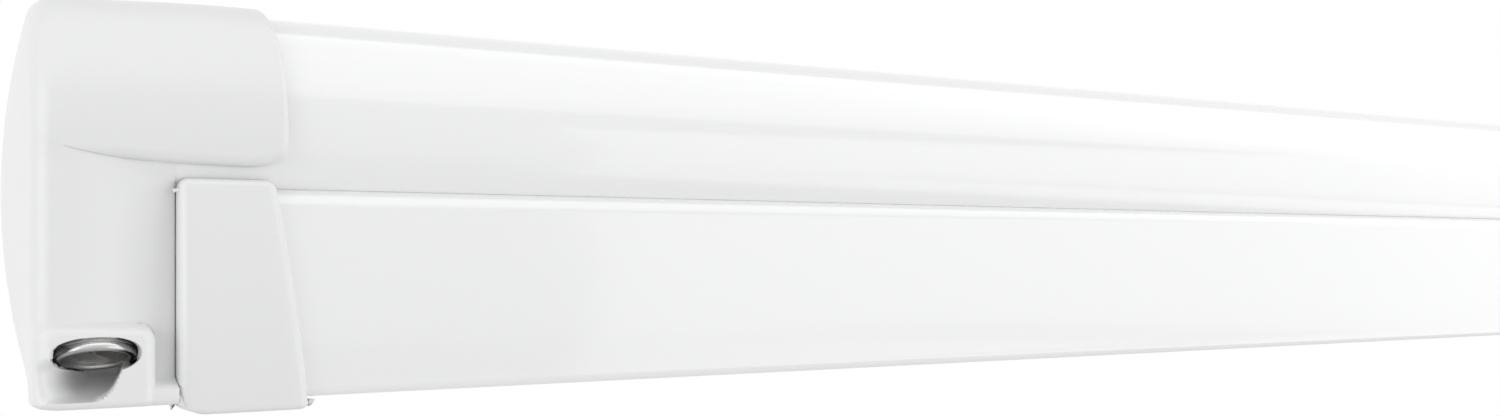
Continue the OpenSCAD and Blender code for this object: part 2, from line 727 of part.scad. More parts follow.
module left_upper_elbow() color([0.75, 0.76, 0.78]) at_end(-1) upper_elbow();
module left_arm_spring() color([0.5, 0.5, 0.52]) at_end(-1) arm_spring();
module left_elbow_pin() color([0.6, 0.61, 0.63]) at_end(-1) elbow_pin();
module left_forearm_tube() color([0.9, 0.91, 0.92]) at_end(-1) forearm_tube();
module left_fore_elbow() color([0.75, 0.76, 0.78]) at_end(-1) fore_elbow();
module left_wrist_casting() color([0.75, 0.76, 0.78]) at_end(-1) wrist_casting();
module right_upper_tube() color([0.9, 0.91, 0.92]) at_end(1) upper_tube();
module right_shoulder_casting() color([0.75, 0.76, 0.78]) at_end(1) shoulder_casting();
module right_upper_elbow() color([0.75, 0.76, 0.78]) at_end(1) upper_elbow();
module right_arm_spring() color([0.5, 0.5, 0.52]) at_end(1) arm_spring();
module right_elbow_pin() color([0.6, 0.61, 0.63]) at_end(1) elbow_pin();
module right_forearm_tube() color([0.9, 0.91, 0.92]) at_end(1) forearm_tube();
module right_fore_elbow() color([0.75, 0.76, 0.78]) at_end(1) fore_elbow();
module right_wrist_casting() color([0.75, 0.76, 0.78]) at_end(1) wrist_casting();

// Lead rail
bow_z = (rail_top + low_z) / 2;
module rail_region(grow) {
  intersection() {
    union() {
      box_at(rail_back, rail_front + 20, low_z - grow + 5, box_z);
      box_at(rail_back, rail_front - 7, low_z - grow, box_z);
      box_at(rail_front - upstand, rail_front + 20, box_z - 5, rail_top + grow);
    }
    translate([rail_front - rail_bow, bow_z]) circle(rail_bow + grow, $fn = 720);
    union() {
      box_at(0, 200, low_z - grow + 5, rail_top + grow);
      box_at(0, rail_front - 7, low_z - grow, 0);
      translate([rail_front - 7.5 + grow, low_z - grow + 5]) circle(5);
    }
  }
}
module rail_section() {
  difference() {
    union() {
      rail_region(0);
      translate([bead_depth, bead_z]) circle(bead_outer);
    }
    box_at(lane_front, lane_front + lane_width, low_z - 10, lane_z);
    box_at(lane_back, lane_back + lane_width, low_z - 10, lane_z);
    box_at(rail_back + rail_wall, lane_front + lane_width - 1, lane_z + rail_wall, box_z - rail_wall);
    box_at(rail_front - upstand - 1, rail_front - 3.6, box_z, rail_top - rail_wall);
    translate([bead_depth, bead_z]) circle(bead_radius + slide_gap);
    box_at(bead_depth - bead_outer - 1, bead_depth, bead_z - bead_slot / 2, bead_z + bead_slot / 2);
  }
}
rail_cap_wall = 3;
module lead_rail() {
  color([0.94, 0.94, 0.95])
  difference() {
    along_x(-half + rail_cap_inset + rail_cap_wall, half - rail_cap_inset - rail_cap_wall) rail_section();
    for (side = [-1, 1]) at_end(side) wrist_holes();
  }
}
wrist_base = 2.6;
screw_short = 0.4;
module wrist_holes()
  for (x = [0, -screw_pitch]) for (z = [-screw_spread / 2, screw_spread / 2])
    rod_y(shoulder_x - screw_first + x, arm_z + z, screw_shank + run_gap, rail_back - 2 * wrist_base,
      rail_back + rail_wall - screw_short);
module rail_cap() {
  intersection() {
    union() {
      along_x(rail_cap_inset, rail_cap_inset + rail_cap_wall) rail_region(rail_cap_skin);
      along_x(rail_cap_inset + 1, rail_cap_inset + rail_cap_low) difference() {
        rail_region(rail_cap_skin);
        translate([-20, 0]) rail_region(0.2);
        translate([-3, 0]) rail_region(0.2);
        rail_region(0.2);
        box_at(0, rail_front - upstand - 0.5, box_z - 12, 100);
      }
    }
    along_y(-10, 200) polygon([[0, low_z - 10], [rail_cap_inset + rail_cap_low, low_z - 10],
      [rail_cap_inset + rail_cap_low, low_z], [rail_cap_inset + rail_cap_top, rail_top],
      [rail_cap_inset + rail_cap_top, rail_top + 10], [0, rail_top + 10]]);
  }
  block(rail_cap_inset + 1, rail_cap_inset + 24, rail_back + rail_wall + seat_gap,
    lane_front + lane_width - 1 - seat_gap, lane_z + rail_wall + seat_gap, box_z - rail_wall - seat_gap);
}
module left_rail_cap() color([0.95, 0.95, 0.96]) at_end(-1) rail_cap();
module right_rail_cap() color([0.95, 0.95, 0.96]) at_end(1) rail_cap();
module wrist_bracket() {
  difference() {
    union() {
      block(shoulder_x - 44, shoulder_x + 8.5, rail_back - wrist_base, rail_back,
        arm_z - fore_tall / 2 - slide_gap - ear_thick, arm_z + fore_tall / 2 + slide_gap + ear_thick);
      for (s = [-1, 1]) {
        z0 = arm_z + s * (fore_tall / 2 + slide_gap + ear_thick / 2) - ear_thick / 2;
        along_z(z0, z0 + ear_thick) {
          translate([shoulder_x - 8.5, fore_axis]) square([17, rail_back - fore_axis]);
          translate([shoulder_x, fore_axis]) circle(8.5);
        }
      }
    }
    rod_z(shoulder_x, fore_axis, pin_radius + run_gap, -through, through);
    wrist_holes();
  }
}
module wrist_brackets() color([0.75, 0.76, 0.78]) for (side = [-1, 1]) at_end(side) wrist_bracket();
module wrist_pins() {
  color([0.6, 0.61, 0.63]) for (side = [-1, 1]) at_end(side)
    rod_z(shoulder_x, fore_axis, pin_radius, arm_z - fore_tall / 2 - slide_gap - ear_thick,
      arm_z + fore_tall / 2 + slide_gap + ear_thick);
}
module wrist_screws() {
  color([0.7, 0.71, 0.73]) for (side = [-1, 1]) at_end(side)
    for (x = [0, -screw_pitch]) for (z = [-screw_spread / 2, screw_spread / 2])
      translate([shoulder_x - screw_first + x, 0, arm_z + z]) {
        rod_y(0, 0, screw_shank, rail_back - wrist_base, rail_back + rail_wall - screw_short - 0.2);
        rod_y(0, 0, screw_shank + 2, rail_back - wrist_base - screw_cap, rail_back - wrist_base);
      }
}
module fabric_bead()
  color([0.9, 0.9, 0.9]) rod_x(bead_depth, bead_z, bead_radius, -half + fabric_inset, half - fabric_inset);

// Legs, drawn for the left end with the lane given by its first depth
plate_side = 2.2;
module leg_bracket(lane) {
  difference() {
    union() {
      block(leg_inset - 14, leg_inset + 11, lane + 0.1, lane + lane_width - 0.1, lane_z - 2.5, lane_z);
      for (d = [lane + 0.1, lane + lane_width - 0.1 - plate_side])
        block(leg_inset - 14, leg_inset + 11, d, d + plate_side, leg_z - 7.5, lane_z - 2);
    }
    rod_y(leg_inset, leg_z, leg_pin + run_gap, 0, through);
  }
}
module leg_brackets() {
  color([0.75, 0.76, 0.78]) {
    at_end(-1) leg_bracket(lane_front);
    at_end(1) leg_bracket(lane_back);
  }
}
module leg_pins() {
  color([0.6, 0.61, 0.63]) {
    at_end(-1) rod_y(leg_inset, leg_z, leg_pin, lane_front + 0.15, lane_front + lane_width - 0.15);
    at_end(1) rod_y(leg_inset, leg_z, leg_pin, lane_back + 0.15, lane_back + lane_width - 0.15);
  }
}
head_long = 16;
leg_end = leg_inset + head_long + leg_length;
inner_wide = leg_wide - 2 * leg_wall - 2 * slide_gap;
inner_tall = leg_tall - 2 * leg_wall - 2 * slide_gap;
inner_end = leg_end + 15;
foot_x = inner_end - 7;
module leg_tube(lane)
  tube_x(leg_inset + head_long, leg_end, lane + lane_width / 2, leg_wide, leg_tall, leg_z, leg_wall);
module leg_head(lane) {
  mid = lane + lane_width / 2;
  wide = lane_width - 0.2 - 2 * plate_side - 2 * slide_gap;
  difference() {
    union() {
      rod_y(leg_inset, leg_z, 10.5, mid - wide / 2, mid + wide / 2);
      block(leg_inset, leg_inset + head_long, mid - wide / 2, mid + wide / 2, leg_z - 10, leg_z + 10);
      block(leg_inset + head_long, leg_inset + head_long + 28, mid - inner_wide / 2, mid + inner_wide / 2,
        leg_z - inner_tall / 2, leg_z + inner_tall / 2);
    }
    rod_y(leg_inset, leg_z, leg_pin + run_gap, 0, through);
  }
}
collar_wide = lane_width - 0.8;
collar_tall = leg_tall + 3;
lever_z = leg_z - collar_tall / 2 - 2;
lever_x = leg_end - 6;
module leg_collar(lane) {
  mid = lane + lane_width / 2;
  difference() {
    union() {
      block(leg_end - 26, leg_end + 4, mid - collar_wide / 2, mid + collar_wide / 2,
        leg_z - collar_tall / 2, leg_z + collar_tall / 2);
      for (s = [-1, 1])
        block(lever_x - 3, lever_x + 3, mid + s * 6 - 1.2, mid + s * 6 + 1.2,
          lever_z - 1.7, leg_z - collar_tall / 2);
    }
    block(leg_end - 30, leg_end, mid - leg_wide / 2 - seat_gap / 2, mid + leg_wide / 2 + seat_gap / 2,
      leg_z - leg_tall / 2 - seat_gap, leg_z + leg_tall / 2 + seat_gap);
    block(leg_end - 1, leg_end + 10, mid - inner_wide / 2 - slide_gap, mid + inner_wide / 2 + slide_gap,
      leg_z - inner_tall / 2 - slide_gap, leg_z + inner_tall / 2 + slide_gap);
    rod_y(lever_x, lever_z, 1.1 + run_gap, 0, through);
  }
}
module clamp_lever(lane) {
  mid = lane + lane_width / 2;
  rod_y(lever_x, lever_z, 1.65, mid - 4.4, mid + 4.4);
  block(lever_x - lever_length, lever_x, mid - 4.4, mid + 4.4, lever_z - 1.65, lever_z + 1.65);
  rod_y(lever_x, lever_z, 1.1, mid - 7, mid + 7);
}
module leg_inner(lane) {
  difference() {
    tube_x(leg_inset + head_long + 32, inner_end, lane + lane_width / 2, inner_wide, inner_tall,
      leg_z, leg_wall);
    rod_y(foot_x, leg_z, 3 + run_gap, 0, through);
  }
}
module foot(lane) {
  mid = lane + lane_width / 2;
  tongue = inner_wide - 2 * leg_wall - 2 * slide_gap;
  rod_y(foot_x, leg_z, 5.5, mid - tongue / 2, mid + tongue / 2);
  block(foot_x, foot_x + 12, mid - tongue / 2, mid + tongue / 2, leg_z - 5.5, leg_z + 5.5);
  block(foot_x + 11, foot_x + 16, mid - lane_width / 2 + 0.8, mid + lane_width / 2 - 0.8,
    leg_z - 10, leg_z + 10);
  rod_y(foot_x, leg_z, 3, mid - inner_wide / 2, mid + inner_wide / 2);
}
module left_leg_tube() color([0.9, 0.91, 0.92]) at_end(-1) leg_tube(lane_front);
module left_leg_head() color([0.2, 0.2, 0.21]) at_end(-1) leg_head(lane_front);
module left_leg_collar() color([0.2, 0.2, 0.21]) at_end(-1) leg_collar(lane_front);
module left_leg_inner() color([0.85, 0.86, 0.87]) at_end(-1) leg_inner(lane_front);
module left_foot() color([0.2, 0.2, 0.21]) at_end(-1) foot(lane_front);
module left_clamp_lever() color([0.2, 0.2, 0.21]) at_end(-1) clamp_lever(lane_front);
module right_leg_tube() color([0.9, 0.91, 0.92]) at_end(1) leg_tube(lane_back);
module right_leg_head() color([0.2, 0.2, 0.21]) at_end(1) leg_head(lane_back);
module right_leg_collar() color([0.2, 0.2, 0.21]) at_end(1) leg_collar(lane_back);
module right_leg_inner() color([0.85, 0.86, 0.87]) at_end(1) leg_inner(lane_back);
module right_foot() color([0.2, 0.2, 0.21]) at_end(1) foot(lane_back);
module right_clamp_lever() color([0.2, 0.2, 0.21]) at_end(1) clamp_lever(lane_back);

housing();
left_end_plate();
right_end_plate();
left_end_cap();
right_end_cap();
gear_case();
crank_bearing();
left_arm_bracket();
right_arm_bracket();
shoulder_pins();
roller_bushes();
end_screws();
bracket_bolts();
roller_tube();
left_roller_plug();
right_roller_plug();
worm_wheel();
fabric_roll();
awning_fabric();
worm_shaft();
crank_bell();
left_upper_tube();
left_shoulder_casting();
left_upper_elbow();
left_arm_spring();
left_elbow_pin();
left_forearm_tube();
left_fore_elbow();
left_wrist_casting();
right_upper_tube();
right_shoulder_casting();
right_upper_elbow();
right_arm_spring();
right_elbow_pin();
right_forearm_tube();
right_fore_elbow();
right_wrist_casting();
lead_rail();
left_rail_cap();
right_rail_cap();
wrist_brackets();
wrist_pins();
wrist_screws();
fabric_bead();
leg_brackets();
leg_pins();
left_leg_tube();
left_leg_head();
left_leg_collar();
left_leg_inner();
left_foot();
left_clamp_lever();
right_leg_tube();
right_leg_head();
right_leg_collar();
right_leg_inner();
right_foot();
right_clamp_lever();
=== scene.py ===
# %% [markdown]
# # A roll-out awning, dressed for its picture
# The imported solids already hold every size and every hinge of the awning. This
# lesson puts the looks on top: smooth skins for the pieces that show, cloth on the
# roller, and a finish for each metal and plastic. We load the solids first, and we
# keep their box, because nothing that we add may make the awning bigger.

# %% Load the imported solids
import json
from math import (acos, asin, atan2, cos, degrees, dist, exp, hypot, pi, radians, sin, sqrt)

import bmesh
import bpy
from mathutils import Matrix, Vector

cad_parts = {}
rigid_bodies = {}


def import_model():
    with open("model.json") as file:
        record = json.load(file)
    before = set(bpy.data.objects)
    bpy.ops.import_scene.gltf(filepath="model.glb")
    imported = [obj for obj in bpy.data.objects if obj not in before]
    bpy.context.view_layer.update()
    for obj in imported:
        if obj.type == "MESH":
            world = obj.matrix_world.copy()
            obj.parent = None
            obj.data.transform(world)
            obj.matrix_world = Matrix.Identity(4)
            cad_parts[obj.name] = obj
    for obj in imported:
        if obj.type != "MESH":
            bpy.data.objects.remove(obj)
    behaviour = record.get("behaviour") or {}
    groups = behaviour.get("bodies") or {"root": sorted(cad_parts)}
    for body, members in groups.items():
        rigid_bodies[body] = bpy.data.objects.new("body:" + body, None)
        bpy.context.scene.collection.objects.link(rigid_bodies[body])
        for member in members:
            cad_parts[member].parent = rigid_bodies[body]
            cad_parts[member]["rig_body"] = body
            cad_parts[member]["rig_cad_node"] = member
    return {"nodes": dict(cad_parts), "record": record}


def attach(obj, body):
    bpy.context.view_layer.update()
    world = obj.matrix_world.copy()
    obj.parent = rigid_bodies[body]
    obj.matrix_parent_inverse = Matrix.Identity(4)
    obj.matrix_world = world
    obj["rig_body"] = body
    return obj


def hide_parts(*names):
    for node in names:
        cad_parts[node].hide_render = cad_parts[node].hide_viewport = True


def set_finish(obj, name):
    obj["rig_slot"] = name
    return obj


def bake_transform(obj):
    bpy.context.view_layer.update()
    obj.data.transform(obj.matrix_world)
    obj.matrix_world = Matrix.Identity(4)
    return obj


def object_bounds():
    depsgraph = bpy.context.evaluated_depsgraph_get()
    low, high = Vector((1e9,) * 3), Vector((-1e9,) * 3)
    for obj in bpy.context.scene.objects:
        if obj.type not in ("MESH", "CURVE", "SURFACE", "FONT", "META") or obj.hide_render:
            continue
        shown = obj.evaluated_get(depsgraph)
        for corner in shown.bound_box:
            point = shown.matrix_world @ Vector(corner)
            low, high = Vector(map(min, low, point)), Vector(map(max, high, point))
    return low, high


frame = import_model()
solid_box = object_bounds()
scene = bpy.context.scene
MM = 0.001
HALF = solid_box[1].x / MM
print("solids:", len(frame["nodes"]), "length in mm:", round(2 * HALF, 1))

# %% [markdown]
# ## The camera
# The photograph looks at the left end from close by, so the awning runs away to the
# right. A camera could be aimed by eye, but two things fix it exactly: all long edges
# meet in one vanishing point, which gives the turn about the vertical, and the upright
# edges stay upright, which means that the camera was level and the picture was cropped.
# A level camera with a small upward shift does the same.

# %% Place a level camera with a small shift
camera_data = bpy.data.cameras.new("front_left_view")
camera_data.lens = 35.0
camera_data.sensor_width = 36.0
camera_data.shift_y = 0.0323
camera_data.clip_start = 0.01
camera = bpy.data.objects.new("front_left_view", camera_data)
camera.location = (-1.2117, -0.5704, -0.0179)
camera.rotation_euler = (radians(90), 0.0, radians(-32.57))
scene.collection.objects.link(camera)
scene.camera = camera
scene.view_settings.view_transform = "Standard"
print("camera turned by", round(degrees(camera.rotation_euler.z), 2), "degrees")

# %% [markdown]
# ## Drawing a section
# The case and the lead rail are aluminium extrusions: one section, pushed through a die.
# In Blender we can do the same. A vertex is extruded along the straight walls and spun
# around the curved ones, the closed line is filled, and the face is pulled along the
# awning. Sections are written as depth from the wall and height, in millimetres.

# %% Helpers for extruded sections
def spot(u, depth, height):
    """A point by its distance from the left end, depth from the wall and height, in mm."""
    return Vector((u - HALF, -depth, height)) * MM


def only(geometry, kind):
    return [item for item in geometry if isinstance(item, kind)]


def draw_outline(bm, u, start, steps):
    """Draws a closed line: ("to", depth, height) or ("arc", centre, degrees, parts)."""
    first = bmesh.ops.create_vert(bm, co=spot(u, *start))["vert"][0]
    last = first
    for step in steps:
        if step[0] == "to":
            last = bmesh.ops.extrude_vert_indiv(bm, verts=[last])["verts"][0]
            last.co = spot(u, step[1], step[2])
        else:
            turned = bmesh.ops.spin(
                bm, geom=[last], cent=spot(u, *step[1]), axis=(-1, 0, 0),
                angle=radians(step[2]), steps=step[3], use_duplicate=False)
            last = only(turned["geom_last"], bmesh.types.BMVert)[0]
    bm.edges.new((last, first))


def mend_normals(bm):
    bmesh.ops.recalc_face_normals(bm, faces=bm.faces[:])


def fill_and_pull(bm, length):
    """Fills the drawn lines, holes left open, and pulls the face along the awning."""
    bmesh.ops.remove_doubles(bm, verts=bm.verts[:], dist=1e-6)
    bmesh.ops.triangle_fill(bm, edges=bm.edges[:], use_beauty=True)
    pulled = bmesh.ops.extrude_face_region(bm, geom=bm.faces[:])
    ends = only(pulled["geom"], bmesh.types.BMVert)
    bmesh.ops.translate(bm, verts=ends, vec=(length * MM, 0, 0))
    mend_normals(bm)


print("the left end lies at x =", round(spot(0, 0, 0).x, 3), "m")

# %% Helpers that make a piece
TURNED, EXTRUDED, MOULDED, WOVEN = 32, 35, 40, 60  # edges stay sharp above these degrees


def shade(bm, sharp):
    """Smooth shading, with edges kept sharp where faces meet at more than this angle."""
    for face in bm.faces:
        face.smooth = True
    for edge in bm.edges:
        edge.smooth = edge.calc_face_angle(0.0) < radians(sharp)


def mesh_object(name, bm):
    """Puts a bmesh into the scene as a new object."""
    mesh = bpy.data.meshes.new(name)
    bm.to_mesh(mesh)
    bm.free()
    item = bpy.data.objects.new(name, mesh)
    scene.collection.objects.link(item)
    return item


def make_piece(name, bm, body, slot, replaced=(), sharp=EXTRUDED):
    """Turns a bmesh into a piece that rides on a body and stands for its solids."""
    shade(bm, sharp)
    piece = mesh_object(name, bm)
    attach(piece, body)
    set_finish(piece, slot)
    if replaced:
        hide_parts(*replaced)
    print("made", name, "with", len(piece.data.polygons), "faces")
    return piece


print("edges stay sharp above", TURNED, "to", WOVEN, "degrees")

# %% [markdown]
# ## The case
# The case is the long white body on the wall: a half-round front that runs over the
# roller, a flat back, and a short floor under the arms. Its mouth is open at the front
# below, where the lead rail closes it. Three screw ports run inside it.

# %% Extrude the case
CASE_END = 36.0
ROUND = (47.0, 22.0)
ROUND_R, CASE_WALL = 43.0, 2.5
BACK_CORNER = (14.0, 51.0)
LIP_Z, TOP_Z, FLOOR_Z = -2.0, 65.0, -60.0


def round_angle(radius, height):
    return degrees(asin((height - ROUND[1]) / radius))


lip_out = 90.0 - round_angle(ROUND_R, LIP_Z)
inner_r = ROUND_R - CASE_WALL
lip_in = round_angle(inner_r, LIP_Z)
case = bmesh.new()
draw_outline(case, CASE_END, (0, FLOOR_Z), [
    ("to", 0, BACK_CORNER[1]), ("arc", BACK_CORNER, -90, 12), ("to", ROUND[0], TOP_Z),
    ("arc", ROUND, -lip_out, 64),
    ("to", ROUND[0] + inner_r * cos(radians(lip_in)), LIP_Z),
    ("arc", ROUND, 90 - lip_in, 64), ("to", BACK_CORNER[0], TOP_Z - CASE_WALL),
    ("arc", BACK_CORNER, 90, 12), ("to", CASE_WALL, FLOOR_Z + CASE_WALL),
    ("to", ROUND[0], FLOOR_Z + CASE_WALL), ("to", ROUND[0], FLOOR_Z)])
fill_and_pull(case, 2 * (HALF - CASE_END))
case_shell = make_piece("case_extrusion", case, "cassette", "white_paint", ["housing"])

# %% [markdown]
# The ports stand inside the case on short webs and take the screws of the end plates. Each
# is one more outline with a bore, pulled to the full length. A Boolean joins them to the
# case and drills the four wall bolt holes, which is how a workshop would do the holes too.

# %% Join the screw ports and drill the back
def settle(piece, sharp):
    """Applies the modifiers of a piece and shades the result."""
    graph = bpy.context.evaluated_depsgraph_get()
    mesh = bpy.data.meshes.new_from_object(piece.evaluated_get(graph))
    piece.modifiers.clear()
    piece.data = mesh
    bm = bmesh.new()
    bm.from_mesh(mesh)
    shade(bm, sharp)
    bm.to_mesh(mesh)
    bm.free()


def combine(piece, other, operation):
    step = piece.modifiers.new(other.name, "BOOLEAN")
    step.operation, step.solver, step.object = operation, "EXACT", other
    return step


PORT_R, PORT_BORE, WEB, WEB_FOOT = 4.1, 2.1, 1.2, 1.25
BACK_PORTS, TOP_PORT = ((10.0, 53.0), (8.5, 4.0)), (42.0, 58.4)
BOLT_U, BOLT_Z, BOLT_SPREAD, BOLT_R, DRILL_DEEP = 650.0, -32.0, 13.0, 3.3, 10.0
web_turn = degrees(asin(WEB / PORT_R))
web_end = PORT_R * cos(radians(web_turn))
ports = bmesh.new()
for d, z in BACK_PORTS:
    draw_outline(ports, CASE_END, (WEB_FOOT, z + WEB), [
        ("to", d - web_end, z + WEB), ("arc", (d, z), 2 * web_turn - 360, 40),
        ("to", WEB_FOOT, z - WEB)])
d, z = TOP_PORT
draw_outline(ports, CASE_END, (d - WEB, TOP_Z - WEB_FOOT), [
    ("to", d - WEB, z + web_end), ("arc", TOP_PORT, 360 - 2 * web_turn, 40),
    ("to", d + WEB, TOP_Z - WEB_FOOT)])
for port in (*BACK_PORTS, TOP_PORT):
    draw_outline(ports, CASE_END, (port[0] + PORT_BORE, port[1]), [("arc", port, 360, 24)])
fill_and_pull(ports, 2 * (HALF - CASE_END))
drills = bmesh.new()
for u in (HALF - BOLT_U, HALF + BOLT_U):
    for z in (BOLT_Z - BOLT_SPREAD, BOLT_Z + BOLT_SPREAD):
        across = Matrix.Translation(spot(u, 0, z)) @ Matrix.Rotation(pi / 2, 4, "X")
        bmesh.ops.create_cone(drills, cap_ends=True, segments=32, radius1=BOLT_R * MM,
                              radius2=BOLT_R * MM, depth=DRILL_DEEP * MM, matrix=across)
helpers = [mesh_object("screw_ports", ports), mesh_object("bolt_drills", drills)]
combine(case_shell, helpers[0], "UNION")
combine(case_shell, helpers[1], "DIFFERENCE")
settle(case_shell, EXTRUDED)
for helper in helpers:
    bpy.data.objects.remove(helper)
print("case with ports and holes:", len(case_shell.data.polygons), "faces")

# %% [markdown]
# ## The lead rail
# The lead rail closes the case and pulls the cloth out. Its front is gently bowed, an
# upstand covers the lip of the case, two lanes below take the folded legs, and a groove
# on top holds the bead of the cloth. The upstand ends in a large round that comes close to
# the case, so that hardly any line shows between them. The rail is one extrusion with one
# closed chamber: we draw two lines, the outline and the chamber, before we fill and pull.

# %% Extrude the lead rail
RAIL_END = 46.0
BOW = (-126.0, -30.5)
BOW_R = 220.0
BEAD = (74.5, -5.4)
BEAD_OUT, BEAD_IN, SLOT_HALF = 5.2, 3.3, 0.8
RAIL_TOP, RAIL_LOW, BOX_TOP, LANE_TOP = 4.0, -65.0, -10.0, -33.0
RAIL_BACK, BACK_LANE, FRONT_LANE = 50.0, (53.0, 70.5), (73.0, 90.5)
CHAMBER_BACK, CHAMBER_FRONT, CHAMBER_LOW, CHAMBER_TOP = 52.5, 89.5, -30.5, -12.5
UPSTAND_IN, HOOK_D, HOOK_LOW, HOOK_TOP, HOOK_EDGE = 90.4, 88.0, 1.5, 2.4, 0.7
TOE = (87.0, -60.0)
TOP_R, TOP_TURN = 7.5, 79.0
EDGE_Z = RAIL_TOP - TOP_R * sin(radians(TOP_TURN))


def bow_angle(height, radius=BOW_R):
    return degrees(asin((height - BOW[1]) / radius))


def bow_depth(height, radius=BOW_R):
    return BOW[0] + radius * cos(radians(bow_angle(height, radius)))


top_d = bow_depth(EDGE_Z) - TOP_R * (1 - cos(radians(TOP_TURN)))
toe_r = bow_depth(TOE[1]) - TOE[0]
toe_turn = degrees(acos((FRONT_LANE[1] - TOE[0]) / toe_r))
toe_z = TOE[1] - toe_r * sin(radians(toe_turn))
foot_turn = degrees(asin((BOX_TOP - BEAD[1]) / BEAD_OUT))
slot_out = degrees(asin(SLOT_HALF / BEAD_OUT))
slot_in = degrees(asin(SLOT_HALF / BEAD_IN))


def round_bead(radius, angle):
    turn = radians(angle)
    return BEAD[0] + radius * cos(turn), BEAD[1] + radius * sin(turn)


top_turn = radians(bow_angle(EDGE_Z))
front_d = bow_depth(EDGE_Z)
rail = bmesh.new()
steps = [("to", RAIL_BACK, RAIL_LOW)]
for lane, foot_z in ((BACK_LANE, RAIL_LOW), (FRONT_LANE, toe_z)):
    steps += [("to", lane[0], RAIL_LOW), ("to", lane[0], LANE_TOP),
              ("to", lane[1], LANE_TOP), ("to", lane[1], foot_z)]
steps += [
    ("arc", TOE, toe_turn, 8), ("arc", BOW, bow_angle(EDGE_Z) - bow_angle(TOE[1]), 32),
    ("to", front_d + TOP_R * (cos(top_turn) - 1), EDGE_Z + TOP_R * sin(top_turn)),
    ("arc", (front_d - TOP_R, EDGE_Z), TOP_TURN - bow_angle(EDGE_Z), 14),
    ("to", top_d, RAIL_TOP - HOOK_EDGE), ("to", HOOK_D, HOOK_TOP), ("to", HOOK_D, HOOK_LOW),
    ("to", UPSTAND_IN, HOOK_LOW), ("to", UPSTAND_IN, BOX_TOP),
    ("to", *round_bead(BEAD_OUT, foot_turn)), ("arc", BEAD, 180 - slot_out - foot_turn, 24),
    ("to", *round_bead(BEAD_IN, 180 - slot_in)), ("arc", BEAD, 2 * slot_in - 360, 36),
    ("to", *round_bead(BEAD_OUT, 180 + slot_out)), ("arc", BEAD, -foot_turn - slot_out, 6)]
draw_outline(rail, RAIL_END, (RAIL_BACK, BOX_TOP), steps)
draw_outline(rail, RAIL_END, (CHAMBER_BACK, CHAMBER_LOW), [
    ("to", CHAMBER_FRONT, CHAMBER_LOW), ("to", CHAMBER_FRONT, CHAMBER_TOP),
    ("to", CHAMBER_BACK, CHAMBER_TOP)])
fill_and_pull(rail, 2 * (HALF - RAIL_END))
make_piece("lead_rail_extrusion", rail, "lead_rail", "white_paint", ["lead_rail"])

# %% [markdown]
# ## The end caps
# Each end of the case wears a moulded cap. Its crown follows the half-round and laps over
# the case, ends in a rounded lip, and the lower panel stands back a little under that lip.
# On the left cap a boss stands out below, where the crank goes in. The side is domed: at
# the wall it is strongly curved, at the front edge nearly straight. Such a skin could be
# cut from blocks, but a sheet that follows the section and wraps round the corner keeps
# every rounding smooth. We take a grid whose rows follow the section and whose columns
# run along the awning, round the corner, over the side and across the back. The floor is
# one filled face with an inset rim, and then the sheet gets its wall.

# %% Rows on arcs and straight runs
def clamp(value):
    return min(1.0, max(0.0, value))


def ease(value):
    value = clamp(value)
    return value * value * (3 - 2 * value)


def mix(a, b, share):
    return a + (b - a) * share


def arc_rows(centre, radius, first, last, count):
    """Rows on an arc, as depth, height and the direction that faces out."""
    rows = []
    for k in range(count + 1):
        turn = radians(mix(first, last, k / count))
        out = (cos(turn), sin(turn))
        rows.append((centre[0] + radius * out[0], centre[1] + radius * out[1], *out))
    return rows


def line_rows(start, end, out, count):
    """Rows on a straight run, without its first point."""
    return [(mix(start[0], end[0], k / count), mix(start[1], end[1], k / count), *out)
            for k in range(1, count + 1)]


print("a quarter round of 4 steps has", len(arc_rows((0, 0), 1, 0, 90, 4)), "rows")

# %% The panel and the boss of a cap
FRONT_FROM, FRONT_EVEN = 10.0, 22.0  # the corner ends, and the columns run straight
PANEL_END, PANEL_D, PANEL_R, PANEL_DROP = 42.8, 88.0, 4.0, 1.5
CROWN_STEP, PANEL_BLEND, PANEL_FOLD, PANEL_LAP = 0.6, 22.0, 5.0, 0.9
HEAD_LOW, HEAD_TALL, HEAD_FROM, HEAD_SPAN, CASE_GAP = 4.0, 4.0, 30.0, 9.0, 0.2
BOSS_D, BOSS_SIDE, BOSS_TOP, BOSS_CORNER, BOSS_ROUND = 94.5, 36.6, -38.6, 5.5, 4.0


def boss_share(u, height):
    """How far the boss stands out at a spot of the panel, from 0 to 1, with round edges."""
    right, up = u - (BOSS_SIDE - BOSS_CORNER), height - (BOSS_TOP - BOSS_CORNER)
    outside = hypot(max(right, 0), max(up, 0)) + min(max(right, up), 0)
    inside = clamp((BOSS_CORNER - outside) / BOSS_ROUND)
    return sqrt(1 - (1 - inside) ** 2)


def case_depth(height):
    return ROUND[0] + sqrt(ROUND_R ** 2 - (max(height, LIP_Z) - ROUND[1]) ** 2)


def panel_at(u, height, crown):
    """Depth of the panel: level with the crown at the corner, turned in at its right end."""
    if u > PANEL_END:
        return PANEL_D + PANEL_LAP
    turned = max(0.0, u - PANEL_END + PANEL_R) / PANEL_R
    drop = PANEL_DROP * (1 - sqrt(1 - turned ** 2)) + (PANEL_FOLD if u == PANEL_END else 0.0)
    top = ease((height - HEAD_LOW) / HEAD_TALL)
    depth = mix(crown - CROWN_STEP, PANEL_D, ease((u - FRONT_FROM) / PANEL_BLEND))
    head = top * ease((u - HEAD_FROM) / HEAD_SPAN)
    return mix(depth - drop * (1 - top), case_depth(height) + CASE_GAP, head)


print("the boss stands out by", BOSS_D - PANEL_D, "mm")

